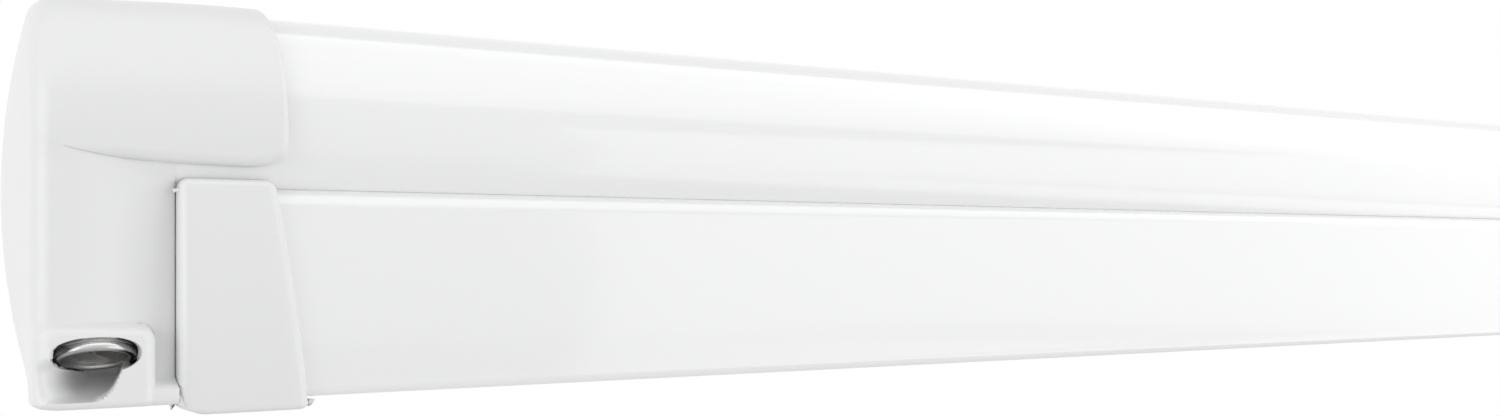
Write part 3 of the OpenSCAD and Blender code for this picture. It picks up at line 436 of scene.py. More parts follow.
# %% The section of a cap, row by row
CROWN_END, CAP_LOW, TOE_R, BOSS_FROM, BOSS_ROWS = 77.0, -64.0, 2.2, -35.0, 36
SKIN_LEFT, SKIN_RIGHT, SKIN_SPAN = 1.0, 3.0, 65.0
LIP_LOW, LIP_SWEEP, LIP_FADE, LIP_CORNER, LIP_LIFT = 10.5, 5.2, 18.0, 13.0, 6.0
LIP_SMALL, LIP_TALL, LIP_SPAN, LIP_EDGE, FLUSH_SPAN = 3.0, 4.4, 30, 0.4, 14.0
LEDGE_D, LEDGE_TOP, LEDGE_SLOPE = 93.5, -55.5, 3.5
PANEL_LEVELS = (8.6, 7.8, 7.0, 6.2, 5.4, 4.6, 3.8, 2.6, 0.5, -4, -10, -16, -22, -29, BOSS_FROM)
BACK_ROWS, TOP_ROWS, CROWN_ROWS, LIP_ROWS = 8, 3, 44, 11


def cap_section(u, fade, with_boss):
    """The rows of a cap at u; where fade is 1, the panel is flush with the crown."""
    skin = mix(SKIN_LEFT, SKIN_RIGHT, ease(u / SKIN_SPAN))
    corner = clamp((u - CROWN_END + LIP_CORNER) / LIP_CORNER)
    lip_z = LIP_LOW + LIP_SWEEP * exp((FRONT_FROM - u) / LIP_FADE)
    lip_z += LIP_LIFT * (1 - sqrt(1 - corner ** 2))
    lip_tall = mix(LIP_SMALL, LIP_TALL, ease((u - FRONT_FROM) / LIP_SPAN))
    radius, back_r = ROUND_R + skin, BACK_CORNER[0] + skin
    rows = arc_rows(BACK_CORNER, back_r, degrees(acos(-BACK_CORNER[0] / back_r)), 90, BACK_ROWS)
    rows += line_rows(rows[-1], (ROUND[0], TOP_Z + skin), (0, 1), TOP_ROWS)
    rows += arc_rows(ROUND, radius, 90, round_angle(radius, lip_z + lip_tall), CROWN_ROWS)[1:]
    stem_d, stem_z = rows[-1][:2]
    under = panel_at(u, lip_z, stem_d)
    low = []
    for k in range(1, LIP_ROWS):
        bend = radians(90 * k / (LIP_ROWS - 1))
        low.append((mix(under + LIP_EDGE, stem_d, cos(bend)), stem_z - lip_tall * sin(bend)))
    low.append((under, lip_z + mix(0.5, -0.5, fade)))
    low += [(panel_at(u, level, stem_d), level) for level in PANEL_LEVELS]
    for d, z in low:
        share = ease((stem_z - z) / FLUSH_SPAN)
        rise = (max(z, LIP_Z) - ROUND[1]) / radius
        flush = mix(ROUND[0] + radius * sqrt(1 - rise ** 2), panel_at(u, z, stem_d), share)
        rows.append((mix(d, flush, fade), z, 1, fade * (1 - share) * rise))
    panel = panel_at(u, BOSS_FROM, stem_d)
    for k in range(1, BOSS_ROWS + 1):
        level = mix(BOSS_FROM, CAP_LOW + TOE_R, k / BOSS_ROWS)
        boss = mix(panel, BOSS_D, boss_share(u, level) if with_boss else 0.0)
        ledge = mix(panel, LEDGE_D, ease((LEDGE_TOP - level) / LEDGE_SLOPE))
        rows.append((max(boss, ledge), level, 1, 0))
    return rows + arc_rows((rows[-1][0] - TOE_R, CAP_LOW + TOE_R), TOE_R, 0, -90, 8)[1:]


LIP_ROW = BACK_ROWS + TOP_ROWS + CROWN_ROWS + LIP_ROWS
print("a cap section has", len(cap_section(30, 0, True)), "rows, its lip ends at row", LIP_ROW)

# %% [markdown]
# The side of the cap is a ruled dome. `side_at` gives its place for any depth and
# height, and `cap_point` walks a row along all the columns of the sheet. Where the side
# meets the wall the rows have to stay in order, so `wall_line` gives each row its own
# height there. On the left cap the front also dips into a scoop below the crank's bell. It
# starts softly at the left, where the crank comes in, and ends at a lower and a right edge.

# %% The side and the corner of a cap
SIDE_U, SIDE_DOME, SIDE_MID, SIDE_FLAT = 2.0, 0.002, 4.0, 80.0
CORNER_R, EDGE_R, ROUND_FADE, TOE_SHRINK = 8.0, 2.4, 25.0, 0.2
WALL_DROP, ROW_STEP = 0.05, 0.12


def side_at(depth, height):
    at_wall = SIDE_U + SIDE_DOME * (height - SIDE_MID) ** 2
    return mix(at_wall, SIDE_U, clamp(depth / SIDE_FLAT))


def moved_in(row, offset):
    """A row moved inwards by the rounding, less towards the wall and on the floor."""
    if row[1] < CAP_LOW + TOE_R:
        return row[0] * (1 - offset / BOSS_D), row[1] - TOE_SHRINK * offset * row[3]
    share = offset * ease(row[0] / ROUND_FADE)
    return row[0] - share * row[2], row[1] - share * row[3]


def wall_line(rows):
    """Heights at the wall, one for each row, always falling."""
    line = [rows[0][1] - WALL_DROP]
    for row in rows[1:]:
        line.append(min(moved_in(row, CORNER_R)[1], line[-1] - ROW_STEP))
    return line


def cap_point(kind, value, row, wall_z):
    """Where a row crosses a column, as u, depth and height."""
    if kind == "end":
        turn = radians(value)
        d, z = moved_in(row, EDGE_R * (1 - cos(turn)))
        return CROWN_END - EDGE_R + EDGE_R * sin(turn), d, z
    if kind == "front":
        start = side_at(row[0], row[1]) + CORNER_R
        share = (value - FRONT_FROM) / (FRONT_EVEN - FRONT_FROM)
        return mix(start, FRONT_EVEN, share) if share < 1 else value, row[0], row[1]
    turn = radians(value if kind == "corner" else 90)
    d, z = moved_in(row, CORNER_R * (1 - cos(turn)))
    if kind == "corner":
        return side_at(d, z) + CORNER_R * (1 - sin(turn)), d, z
    if kind == "side":
        d, z = d * (1 - value), mix(z, wall_z, value)
        return side_at(d, z), d, z
    return mix(side_at(0, wall_z), CASE_END, value), 0.0, wall_z


print("at the wall the top lies in by", round(side_at(0, TOP_Z) - SIDE_U, 1), "mm")

# %% The scoop below the bell
SCOOP_LEFT, SCOOP_SPAN, SCOOP_RIGHT, SCOOP_SLANT, SCOOP_LEAN = 2.0, 13.0, 25.9, 0.45, 0.25
SCOOP_LOW, SCOOP_TOP, SCOOP_DEEP, SCOOP_CORNER = -61.7, -53.0, 25.0, 5.0
SCOOP_FLOOR, SCOOP_RISE, SCOOP_CLOSE, LOW_SOFT, RIGHT_SOFT = 0.3, 8.0, 4.5, 1.0, 2.4


def dip(u, height):
    """How far the front dips into the scoop."""
    side = SCOOP_RIGHT - SCOOP_SLANT * (SCOOP_TOP - height)
    right = max(0.0, u - side + SCOOP_CORNER)
    low = max(0.0, SCOOP_LOW + SCOOP_CORNER - height)
    inside = SCOOP_CORNER - hypot(right, low)
    soft = mix(LOW_SOFT, RIGHT_SOFT, right / (right + low + 0.001))
    floor = mix(SCOOP_FLOOR, 1.0, ease((height - SCOOP_LOW) / SCOOP_RISE))
    floor *= 1 - ease((height - SCOOP_TOP) / SCOOP_CLOSE)
    return SCOOP_DEEP * ease((u - SCOOP_LEFT) / SCOOP_SPAN) * floor * ease(inside / soft)


print("the scoop is", round(max(dip(u, SCOOP_TOP) for u in range(30)), 1), "mm deep")

# %% Lay the sheet of a cap over rows and columns
FLOOR_RIM, FLUSH_FADE = 2.5, 1.6
CAP_COLUMNS = [("end", a) for a in (90, 72, 54, 36, 18)]
CAP_COLUMNS += [("front", u) for u in (
    74.6, 73, 71, 68.5, 66, 64, 58, 52, 47, 44, PANEL_END, PANEL_END - 0.1, 42.5, 42.1, 41.3, 40.3,
    39.1, 38, 37.2, 36.8, 36.6, 36.4, 36.1, 35.7, 35.2, 34.6, 34, 33.2, 32.4, 31, 29.5, 28.2)]
CAP_COLUMNS += [("front", 27.2 - 0.6 * k) for k in range(9)]
CAP_COLUMNS += [("front", 22.0 - k) for k in range(13)]
CAP_COLUMNS += [("corner", a) for a in (9, 18, 27, 36, 45, 54, 63, 72, 81, 90)]
CAP_COLUMNS += [("side", k / 12) for k in range(1, 13)]
CAP_COLUMNS += [("back", k / 4) for k in range(1, 5)]


def new_grid(wide, tall):
    bm = bmesh.new()
    bmesh.ops.create_grid(bm, x_segments=wide - 1, y_segments=tall - 1, size=1.0)
    bm.verts.ensure_lookup_table()
    return bm


def face_outwards(bm, mirror=False):
    """Makes the sheet's faces point to the front, after a change of sides if asked for."""
    if mirror:
        bmesh.ops.scale(bm, verts=bm.verts[:], vec=(-1, 1, 1))
    mend_normals(bm)
    front = max(bm.faces, key=lambda f: -f.calc_center_median().y)
    if front.normal.y > 0:
        bmesh.ops.reverse_faces(bm, faces=bm.faces[:])


def cap_sheet(mirror):
    """The sheet of one cap as a bmesh: a grid laid over rows and columns."""
    wide, tall = len(CAP_COLUMNS), len(cap_section(30, 0, True))
    bm = new_grid(wide, tall)
    for c, (kind, value) in enumerate(CAP_COLUMNS):
        u = value if kind == "front" else FRONT_FROM
        if kind == "end":
            u = CROWN_END - EDGE_R * (1 - sin(radians(value)))
        rows = cap_section(u, 1 - ease((u - FRONT_FROM) / FLUSH_FADE), not mirror)
        line = wall_line(rows)
        for k in range(tall):
            u, d, z = cap_point(kind, value, rows[k], line[k])
            if kind in ("front", "corner") and not mirror:
                deep = dip(u, z)
                u, d = u + SCOOP_LEAN * deep, d - deep
            bm.verts[k * wide + c].co = spot(u, d, z)
    lap = CAP_COLUMNS.index(("front", PANEL_END))
    low_row = [bm.verts[(tall - 1) * wide + c] for c in range(lap, wide)]
    loop = [bm.edges.get(pair) for pair in zip(low_row, low_row[1:])]
    spare = []
    for face in bm.faces:
        low = min(v.index for v in face.verts)
        if low // wide >= LIP_ROW and low % wide < lap:
            spare.append(face)
    bmesh.ops.delete(bm, geom=spare, context="FACES")
    grown = bmesh.ops.extrude_vert_indiv(bm, verts=[low_row[-1]])
    grown["verts"][0].co.x = spot(PANEL_END, 0, 0).x
    loop += grown["edges"] + [bm.edges.new((grown["verts"][0], low_row[0]))]
    floor = bmesh.ops.edgeloop_fill(bm, edges=loop)["faces"]
    bmesh.ops.inset_individual(bm, faces=floor, thickness=FLOOR_RIM * MM, use_even_offset=True)
    for vert in floor[0].verts:
        vert.co.z = CAP_LOW * MM
    face_outwards(bm, mirror)
    return bm


print("a cap has", len(CAP_COLUMNS), "columns")

# %% Make both caps
left_cap, right_cap = [
    make_piece(side + "_cap_skin", cap_sheet(side == "right"), "cassette", "white_plastic",
               [side + "_end_cap"], MOULDED) for side in ("left", "right")]

# %% [markdown]
# ## The crank opening
# The crank bell sits in the boss behind an oval window, above the scoop that gives the
# crank's hook room to swing. We cut the window out of the cap's skin, and the window and
# the way of the bell out of a block behind it, so that the opening has walls. The window
# is a loft: oval rings one behind the other, bridged. The one at the back is wider and
# keeps the skin of the scoop clear of the bell.

# %% Two cutters for the opening
CRANK_U, TILT = 20.0, 71.0
MOUTH = (83.446, -50.0)
OVAL_U, OVAL_Z, OVAL_WIDE, OVAL_UP, OVAL_DOWN = 18.9, -47.4, 12.6, 5.0, 5.7
OVAL_POWER, OVAL_TILT, OVAL_PARTS = 2.3, 0.02, 64
WINDOW_RINGS = ((71.3, 1.1), (78, 0.0), (90, 0.0), (104, 0.5))  # depth, and how much wider
BELL_WAY = [(0, -22), (6.8, -22), (6.8, -9.5), (13, -4.5), (13, 6), (0, 6)]
crank_axis = Vector((0, -cos(radians(TILT)), -sin(radians(TILT))))
crank_place = (Matrix.Translation(spot(CRANK_U, *MOUTH))
               @ crank_axis.to_track_quat("Z", "X").to_matrix().to_4x4())


def spun(profile, place, parts=64):
    """Spins a line of (radius, height along the axis) into a turned shape, in mm."""
    bm = bmesh.new()
    start = Vector((profile[0][0], 0, profile[0][1])) * MM
    last = bmesh.ops.create_vert(bm, co=start)["vert"][0]
    for radius, height in profile[1:]:
        last = bmesh.ops.extrude_vert_indiv(bm, verts=[last])["verts"][0]
        last.co = Vector((radius, 0, height)) * MM
    bmesh.ops.spin(bm, geom=bm.verts[:] + bm.edges[:], cent=(0, 0, 0), axis=(0, 0, 1),
                   angle=2 * pi, steps=parts, use_merge=True, use_duplicate=False)
    bmesh.ops.remove_doubles(bm, verts=bm.verts[:], dist=1e-6)
    bmesh.ops.dissolve_degenerate(bm, edges=bm.edges[:], dist=1e-7)
    mend_normals(bm)
    bmesh.ops.transform(bm, matrix=place, verts=bm.verts[:])
    return bm


def oval_ring(bm, depth, grow):
    """A closed ring in the plane of the front: an oval, squarer for a higher power."""
    ring = bmesh.ops.create_circle(bm, segments=OVAL_PARTS, radius=1.0, cap_ends=False)
    for vert in ring["verts"]:
        turn = atan2(vert.co.y, vert.co.x)
        reach = (abs(cos(turn)) ** OVAL_POWER
                 + abs(sin(turn)) ** OVAL_POWER) ** (-1 / OVAL_POWER)
        tall = OVAL_UP if turn > 0 else OVAL_DOWN
        across = (OVAL_WIDE + grow) * reach * cos(turn)
        up = (tall + grow) * reach * sin(turn)
        vert.co = spot(OVAL_U + across, depth, OVAL_Z + up + across * OVAL_TILT)


def lofted(rings):
    """Bridges rings from back to front and closes both ends."""
    bm = bmesh.new()
    for ring in rings:
        oval_ring(bm, *ring)
    loops = bm.edges[:]
    for loop in (loops[:OVAL_PARTS], loops[-OVAL_PARTS:]):
        bmesh.ops.edgeloop_fill(bm, edges=loop)
    for k in range(len(rings) - 1):
        bmesh.ops.bridge_loops(bm, edges=loops[OVAL_PARTS * k:OVAL_PARTS * (k + 2)])
    mend_normals(bm)
    return bm


bell_way = mesh_object("bell_way", spun(BELL_WAY, crank_place))
window = mesh_object("window", lofted(WINDOW_RINGS))
print("cutters:", [(c.name, len(c.data.polygons)) for c in (bell_way, window)])

# %% Cut the boss and line the opening
LINER = ((9.0, 35.0), (62.0, 92.6), (-50.0, -39.5))
LINER_FRONT, LINER_ROUND = 90.0, 3.5
liner = bmesh.new()
bmesh.ops.create_cube(liner, size=1.0)
bmesh.ops.scale(liner, verts=liner.verts[:], vec=[(high - low) * MM for low, high in LINER])
bmesh.ops.translate(liner, verts=liner.verts[:],
                    vec=spot(*[(low + high) / 2 for low, high in LINER]))
front_edges = [e for e in liner.edges if all(v.co.y < -LINER_FRONT * MM for v in e.verts)]
bmesh.ops.bevel(liner, geom=front_edges, offset=LINER_ROUND * MM, segments=4, profile=0.5,
                affect="EDGES", material=-1)
crank_liner = make_piece("crank_opening", liner, "cassette", "white_plastic", (), MOULDED)
cut_mark, skin_mark = bpy.data.materials.new("cut_wall"), bpy.data.materials.new("cap_skin")
left_cap.data.materials.append(skin_mark)
window.data.materials.append(cut_mark)
combine(crank_liner, bell_way, "DIFFERENCE")
combine(crank_liner, window, "DIFFERENCE")
opening = combine(left_cap, window, "DIFFERENCE")
opening.use_hole_tolerant, opening.material_mode = True, "TRANSFER"
for piece in (crank_liner, left_cap):
    settle(piece, MOULDED)

# %% [markdown]
# The skin of the cap is still an open sheet, so the cut leaves the walls of the window's
# cutter on it. They carry their own mark, and we take them off: the lining gives the
# opening its walls. Then both caps get their thickness.

# %% Clear the cut marks and give the caps their wall
CAP_WALL = 2.0


def give_wall(piece, wall):
    thick = piece.modifiers.new("wall", "SOLIDIFY")
    thick.thickness, thick.offset = wall * MM, -1.0


skin = bmesh.new()
skin.from_mesh(left_cap.data)
walls = [f for f in skin.faces if left_cap.data.materials[f.material_index] == cut_mark]
bmesh.ops.delete(skin, geom=walls, context="FACES")
bmesh.ops.remove_doubles(skin, verts=skin.verts[:], dist=1e-6)
face_outwards(skin)
skin.to_mesh(left_cap.data)
open_edges = sum(e.is_boundary for e in skin.edges)
print("cut walls taken off:", len(walls), "open edges left:", open_edges)
skin.free()
for piece in (crank_liner, left_cap):
    piece.data.materials.clear()
for cap in (left_cap, right_cap):
    give_wall(cap, CAP_WALL)
    settle(cap, MOULDED)
    for vert in cap.data.vertices:
        vert.co.y = min(vert.co.y, 0.0)
        reach = HALF - side_at(-vert.co.y / MM, vert.co.z / MM)
        vert.co.x = min(reach, max(-reach, vert.co.x / MM)) * MM
for leftover in (bell_way, window):
    bpy.data.objects.remove(leftover)
for mark in (cut_mark, skin_mark):
    bpy.data.materials.remove(mark)
print("cap faces after the cut:", len(left_cap.data.polygons))

# %% [markdown]
# ## The crank bell
# The bell is a small zinc casting on the end of the worm shaft. The hook of the loose
# crank goes into its cup and catches on two ramps. The bell is turned from one line with
# a flange at its mouth. Each ramp is a small block that is spun half way round inside the
# cup and lifted a little with every step, so it ends in a tooth.

# %% Turn the bell and its ramps
BELL = [(0, -18.5), (5.7, -18.5), (6, -18.2), (6, -9.8), (6.2, -9.4), (11.4, -5.3), (11.7, -5.0),
        (11.8, -4.6), (11.8, -3.1), (11.7, -2.95), (11.4, -2.8), (11.4, -2.5), (11.7, -2.35),
        (12.1, -2.15), (12.2, -1.8), (12.2, -1.0), (12.1, -0.55), (11.8, -0.2), (11.3, 0),
        (10.4, 0), (9.95, -0.15), (9.7, -0.5), (9.6, -1.0), (9.6, -7.4), (0, -7.4)]
RAMP_STARTS, RAMP_TURN, RAMP_RISE, RAMP_LOW = (56.0, 236.0), 176.0, 5.0, -7.5
RAMP = ((0.8, RAMP_LOW), (9.65, RAMP_LOW), (9.65, -5.6), (0.8, -7.2))
bell = spun(BELL, Matrix.Identity(4), 72)
for start in RAMP_STARTS:
    turned_shape = set(bell.verts)
    corners = [bmesh.ops.create_vert(bell, co=Vector((r, 0, h)) * MM)["vert"][0]
               for r, h in RAMP]
    block = bmesh.ops.contextual_create(bell, geom=corners)["faces"]
    bmesh.ops.rotate(bell, verts=corners, cent=(0, 0, 0),
                     matrix=Matrix.Rotation(radians(start), 3, "Z"))
    bmesh.ops.spin(bell, geom=block, cent=(0, 0, 0), axis=(0, 0, 1), steps=24,
                   angle=radians(RAMP_TURN), use_duplicate=False)
    for vert in bell.verts:
        if vert not in turned_shape and vert.co.z > (RAMP_LOW + 0.1) * MM:
            turned = (degrees(atan2(vert.co.y, vert.co.x)) - start + 1) % 360 - 1
            vert.co.z += RAMP_RISE * MM * turned / RAMP_TURN
mend_normals(bell)
bmesh.ops.transform(bell, matrix=crank_place, verts=bell.verts[:])
make_piece("crank_bell_casting", bell, "crank", "cast_metal", ["crank_bell"], TURNED)

# %% [markdown]
# ## The caps of the lead rail
# The lead rail ends in a moulded cap too: rounded at the left and at its corners, with a
# plain face that follows the bow of the rail and a slanted, rounded inner edge. It is the
# same kind of sheet as the end cap, with other rows and columns, and its end is closed by
# one filled wall.

# %% Rows and columns of a rail cap
CAP_SKIN, RAIL_CAP_U, SLANT_TOP, SLANT_LOW = 2.6, 43.0, 73.0, 83.0
SKIN_R, SHOULDER_R = BOW_R + CAP_SKIN, 2.8
CAP_TOP, CAP_BASE, CAP_BACK, FLANGE_BACK = RAIL_TOP + CAP_SKIN, RAIL_LOW - CAP_SKIN, 50.5, 87.0
RIM_R, CORNER_LOW = 3.2, 8.0


def rail_cap_rows():
    """Rows from the flange over the shoulder and the bowed face to the floor."""
    high, low = CAP_TOP - SHOULDER_R, CAP_BASE + TOE_R
    shoulder, toe = bow_depth(high, SKIN_R) - SHOULDER_R, bow_depth(low, SKIN_R) - TOE_R
    turn, toe_from = bow_angle(high, SKIN_R), bow_angle(low, SKIN_R)
    rows = line_rows((FLANGE_BACK, CAP_TOP), (shoulder, CAP_TOP), (0, 1), 4)
    rows += arc_rows((shoulder, high), SHOULDER_R, 90, turn, 8)[1:]
    rows += arc_rows(BOW, SKIN_R, turn, toe_from, 30)[1:]
    rows += arc_rows((toe, low), TOE_R, toe_from, -90, 9)[1:]
    return rows + line_rows(rows[-1], (CAP_BACK, CAP_BASE), (0, -1), 8)


def rail_cap_point(kind, value, row):
    d, z, out_d, out_z = row
    inner = mix(SLANT_LOW, SLANT_TOP, (z - RAIL_LOW) / (RAIL_TOP - RAIL_LOW))
    side = mix(RIM_R, CORNER_LOW, max(0.0, -out_z))
    turn = radians(value)
    if kind == "rim":
        off, u = RIM_R * (1 - cos(turn)), inner - RIM_R * (1 - sin(turn))
    elif kind == "face":
        off, u = 0.0, mix(inner - RIM_R, RAIL_CAP_U + side, value)
    else:
        off, u = side * (1 - cos(turn)), RAIL_CAP_U + side * (1 - sin(turn))
    return u, d - off * out_d, z - off * out_z


RAIL_CAP_COLUMNS = [("rim", a) for a in (90, 75, 60, 45, 30, 15)]
RAIL_CAP_COLUMNS += [("face", k / 8) for k in range(9)]
RAIL_CAP_COLUMNS += [("corner", a) for a in (15, 30, 45, 60, 75, 90)]


print("a rail cap has", len(rail_cap_rows()), "rows,", len(RAIL_CAP_COLUMNS), "columns")

# %% Make both rail caps
END_WALL = ((CAP_BACK, BOX_TOP + 1), (78, BOX_TOP + 1), (79, -4), (85, -4), (86.5, 2))


def rail_cap_sheet(mirror):
    rows, wide = rail_cap_rows(), len(RAIL_CAP_COLUMNS)
    bm = new_grid(wide, len(rows))
    for k, row in enumerate(rows):
        for c, (kind, value) in enumerate(RAIL_CAP_COLUMNS):
            bm.verts[k * wide + c].co = spot(*rail_cap_point(kind, value, row))
    top, low = bm.verts[wide - 1], bm.verts[len(bm.verts) - 1]
    rim = [e for e in bm.edges if all(v.index % wide == wide - 1 for v in e.verts)]
    step = low
    for d, z in END_WALL:
        grown = bmesh.ops.extrude_vert_indiv(bm, verts=[step])
        step = grown["verts"][0]
        step.co = spot(RAIL_CAP_U, d, z)
        rim += grown["edges"]
    rim.append(bm.edges.new((step, top)))
    bmesh.ops.triangle_fill(bm, edges=rim, use_beauty=True)
    face_outwards(bm, mirror)
    return bm


for side in ("left", "right"):
    cover = make_piece(side + "_rail_cap_skin", rail_cap_sheet(side == "right"), "lead_rail",
                       "white_plastic", [side + "_rail_cap"], MOULDED)
    give_wall(cover, CAP_WALL)
    settle(cover, MOULDED)

# %% [markdown]
# ## The cloth
# The cloth is one long piece that is wound on the roller and ends in a bead in the lead
# rail. On the roller we model what it really is, one spiral of cloth. The span between
# roller and rail is a short sheet at rest. When the awning is wound out it has to grow
# along, but here the span is a fixed sheet with no blend between the case and the rail.

# %% Wind the cloth on the roller
ROLL = (37.5, 26.0)
CLOTH_EDGE, CORE_R, WOUND_R, TURNS, TURN_PARTS, WOUND_WALL = 52.0, 22.7, 27.3, 11.5, 48, 0.34
cloth_width = 2 * (HALF - CLOTH_EDGE) * MM
roll_length = pi * TURNS * (CORE_R + WOUND_R) * MM


def give_threads(bm, length_at):
    """A UV map in metres: across the cloth and along it, so that threads keep their size."""
    layer = bm.loops.layers.uv.new("threads")
    for face in bm.faces:
        for loop in face.loops:
            co = loop.vert.co
            loop[layer].uv = (co.x + cloth_width / 2, length_at(co))


def wound_length(co):
    radius = hypot(-co.y / MM - ROLL[0], co.z / MM - ROLL[1])
    share = (radius - CORE_R) / (WOUND_R - CORE_R)
    return pi * TURNS * share * (CORE_R + radius) * MM


wound = bmesh.new()
centre = spot(CLOTH_EDGE, *ROLL)
first = bmesh.ops.create_vert(wound, co=spot(CLOTH_EDGE, ROLL[0], ROLL[1] + CORE_R))["vert"][0]
roll_parts = round(TURNS * TURN_PARTS)
bmesh.ops.spin(wound, geom=[first], cent=centre, axis=(-1, 0, 0),
               angle=2 * pi * TURNS, steps=roll_parts, use_duplicate=False)
for k, vert in enumerate(wound.verts):
    grow = mix(CORE_R, WOUND_R, k / roll_parts) / CORE_R
    vert.co = centre + (vert.co - centre) * grow
spread = bmesh.ops.extrude_edge_only(wound, edges=wound.edges[:])
bmesh.ops.translate(wound, verts=only(spread["geom"], bmesh.types.BMVert),
                    vec=(cloth_width, 0, 0))
mend_normals(wound)
give_threads(wound, wound_length)
cloth_roll = make_piece("wound_cloth", wound, "roller", "awning_cloth", ["fabric_roll"], WOVEN)
give_wall(cloth_roll, WOUND_WALL)
settle(cloth_roll, WOVEN)
print("cloth on the roller in m:", round(roll_length, 3))

# %% [markdown]
# The span has many rows, and a row that the rail would pull further lies nearer to the
# rail. A blend that eases in and out would bunch them, so the rows are spaced by the inverse
# of that ease, to come out evenly with such a blend when the awning is open. The threads are
# measured on the open cloth for the same reason.

# %% Lay the span from the roller to the bead
SPAN_FROM, SPAN_TO, SPAN_ROWS, SPAN_COLUMNS = (38.2, -1.85), (71.4, -5.45), 48, 24
OPEN_LENGTH, SPAN_WALL = 1.81, 0.4


def uneased(share):
    return 0.5 - sin(asin(1 - 2 * share) / 3)


def span_spot(u, share):
    return spot(u, mix(SPAN_FROM[0], SPAN_TO[0], share), mix(SPAN_FROM[1], SPAN_TO[1], share))


span = bmesh.new()
bmesh.ops.create_grid(span, x_segments=SPAN_COLUMNS, y_segments=SPAN_ROWS, size=1.0)
for vert in span.verts:
    across, share = (vert.co.x + 1) / 2, uneased(clamp((vert.co.y + 1) / 2))
    vert.co = span_spot(mix(CLOTH_EDGE, 2 * HALF - CLOTH_EDGE, across), share)
mend_normals(span)
give_threads(span, lambda co: roll_length + OPEN_LENGTH * ease(
    (-co.y / MM - SPAN_FROM[0]) / (SPAN_TO[0] - SPAN_FROM[0])))
shade(span, WOVEN)
cloth_span = mesh_object("cloth_span", span)
give_wall(cloth_span, SPAN_WALL)
settle(cloth_span, WOVEN)
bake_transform(cloth_span)
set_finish(cloth_span, "awning_cloth")
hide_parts("awning_fabric")

# %% [markdown]
# ## Softer edges on arms, legs and castings
# The arms and legs are already right as solids, but a real casting or tube has no edge
# that is perfectly sharp. We copy each solid, merge its loose triangles, clear the lines
# on its flat faces and bevel what is left of the sharp edges, so that they catch light.

# %% Copy the solids with bevelled edges
FLAT, SHARP, FOLDED = radians(0.6), radians(38), radians(140)


def soften(node, width):
    bm = bmesh.new()
    bm.from_mesh(frame["nodes"][node].data)
    bmesh.ops.remove_doubles(bm, verts=bm.verts[:], dist=2e-6)
    bmesh.ops.dissolve_limit(bm, angle_limit=FLAT, verts=bm.verts[:], edges=bm.edges[:])
    corners = [e for e in bm.edges if e.is_manifold and SHARP < e.calc_face_angle(0.0) < FOLDED]
    bmesh.ops.bevel(bm, geom=corners, offset=width * MM, offset_type="OFFSET", segments=2,
                    profile=0.5, affect="EDGES", material=-1, clamp_overlap=True)
    body = frame["nodes"][node]["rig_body"]
    make_piece(node + "_soft", bm, body, slot_of[node], [node], MOULDED)


slot_of = {row["node"]: row["material_slot"] for row in frame["record"]["subparts"]}
SOFT_EDGES = {"upper_tube": 0.7, "forearm_tube": 0.7, "shoulder_casting": 0.7,
              "upper_elbow": 0.6, "fore_elbow": 0.6, "wrist_casting": 0.6, "leg_head": 0.6,
              "leg_tube": 0.6, "leg_inner": 0.5, "leg_collar": 0.6, "foot": 0.8,
              "clamp_lever": 0.5, "arm_bracket": 0.7}
for side in ("left", "right"):
    for part, width in SOFT_EDGES.items():
        soften(side + "_" + part, width)

# %% [markdown]
# ## Surface effects that finishes share
# Paint, plastic and metal all have a fine grain and slow, cloudy changes. We build both
# once as a node group that reads Object coordinates, so the grain keeps its real size on
# every piece. A second group gives fine brushed lines, and a third weaves threads on the
# UV map of the cloth.

# %% Helpers for node trees, and the grain
def add(tree, kind, values=None, **settings):
    node = tree.nodes.new(kind)
    for key, value in settings.items():
        setattr(node, key, value)
    for key, value in (values or {}).items():
        node.inputs[key].default_value = value
    return node


def new_group(name, inputs, outputs):
    group = bpy.data.node_groups.new(name, "ShaderNodeTree")
    for title, value in inputs:
        socket = group.interface.new_socket(title, in_out="INPUT", socket_type="NodeSocketFloat")
        socket.default_value = value
    for title in outputs:
        group.interface.new_socket(title, in_out="OUTPUT", socket_type="NodeSocketFloat")
    return group, add(group, "NodeGroupInput"), add(group, "NodeGroupOutput")


def feed(tree, source, socket):
    """Sets a number on a socket, or links another socket to it."""
    if isinstance(source, (int, float)):
        socket.default_value = source
    else:
        tree.links.new(source, socket)


def cloudy(tree, place, scale, detail, rough):
    noise = add(tree, "ShaderNodeTexNoise", {"Detail": detail, "Roughness": rough})
    feed(tree, place, noise.inputs["Vector"])
    feed(tree, scale, noise.inputs["Scale"])
    return noise.outputs["Fac"]


grain, ends, result = new_group("surface_grain", [("Grain Scale", 900.0), ("Cloud Scale", 6.0)],
                                ["Grain", "Clouds"])
place = add(grain, "ShaderNodeTexCoord").outputs["Object"]
grain.links.new(cloudy(grain, place, ends.outputs["Grain Scale"], 2.0, 0.55),
                result.inputs["Grain"])
grain.links.new(cloudy(grain, place, ends.outputs["Cloud Scale"], 1.0, 0.45),
                result.inputs["Clouds"])

print("made", grain.name)

# %% Brushed lines and woven threads
STRIPE_FROM = 0.62


def calc(tree, operation, first, second):
    node = add(tree, "ShaderNodeMath", operation=operation)
    feed(tree, first, node.inputs[0])
    feed(tree, second, node.inputs[1])
    return node.outputs[0]


brush, ends, result = new_group("brushed_lines", [("Line Scale", 40.0)], ["Lines"])
place = add(brush, "ShaderNodeTexCoord").outputs["Object"]
stretch = add(brush, "ShaderNodeMapping", {"Scale": (0.25, 30.0, 30.0)})
brush.links.new(place, stretch.inputs["Vector"])
brush.links.new(cloudy(brush, stretch.outputs[0], ends.outputs["Line Scale"], 3.0, 0.6),
                result.inputs["Lines"])

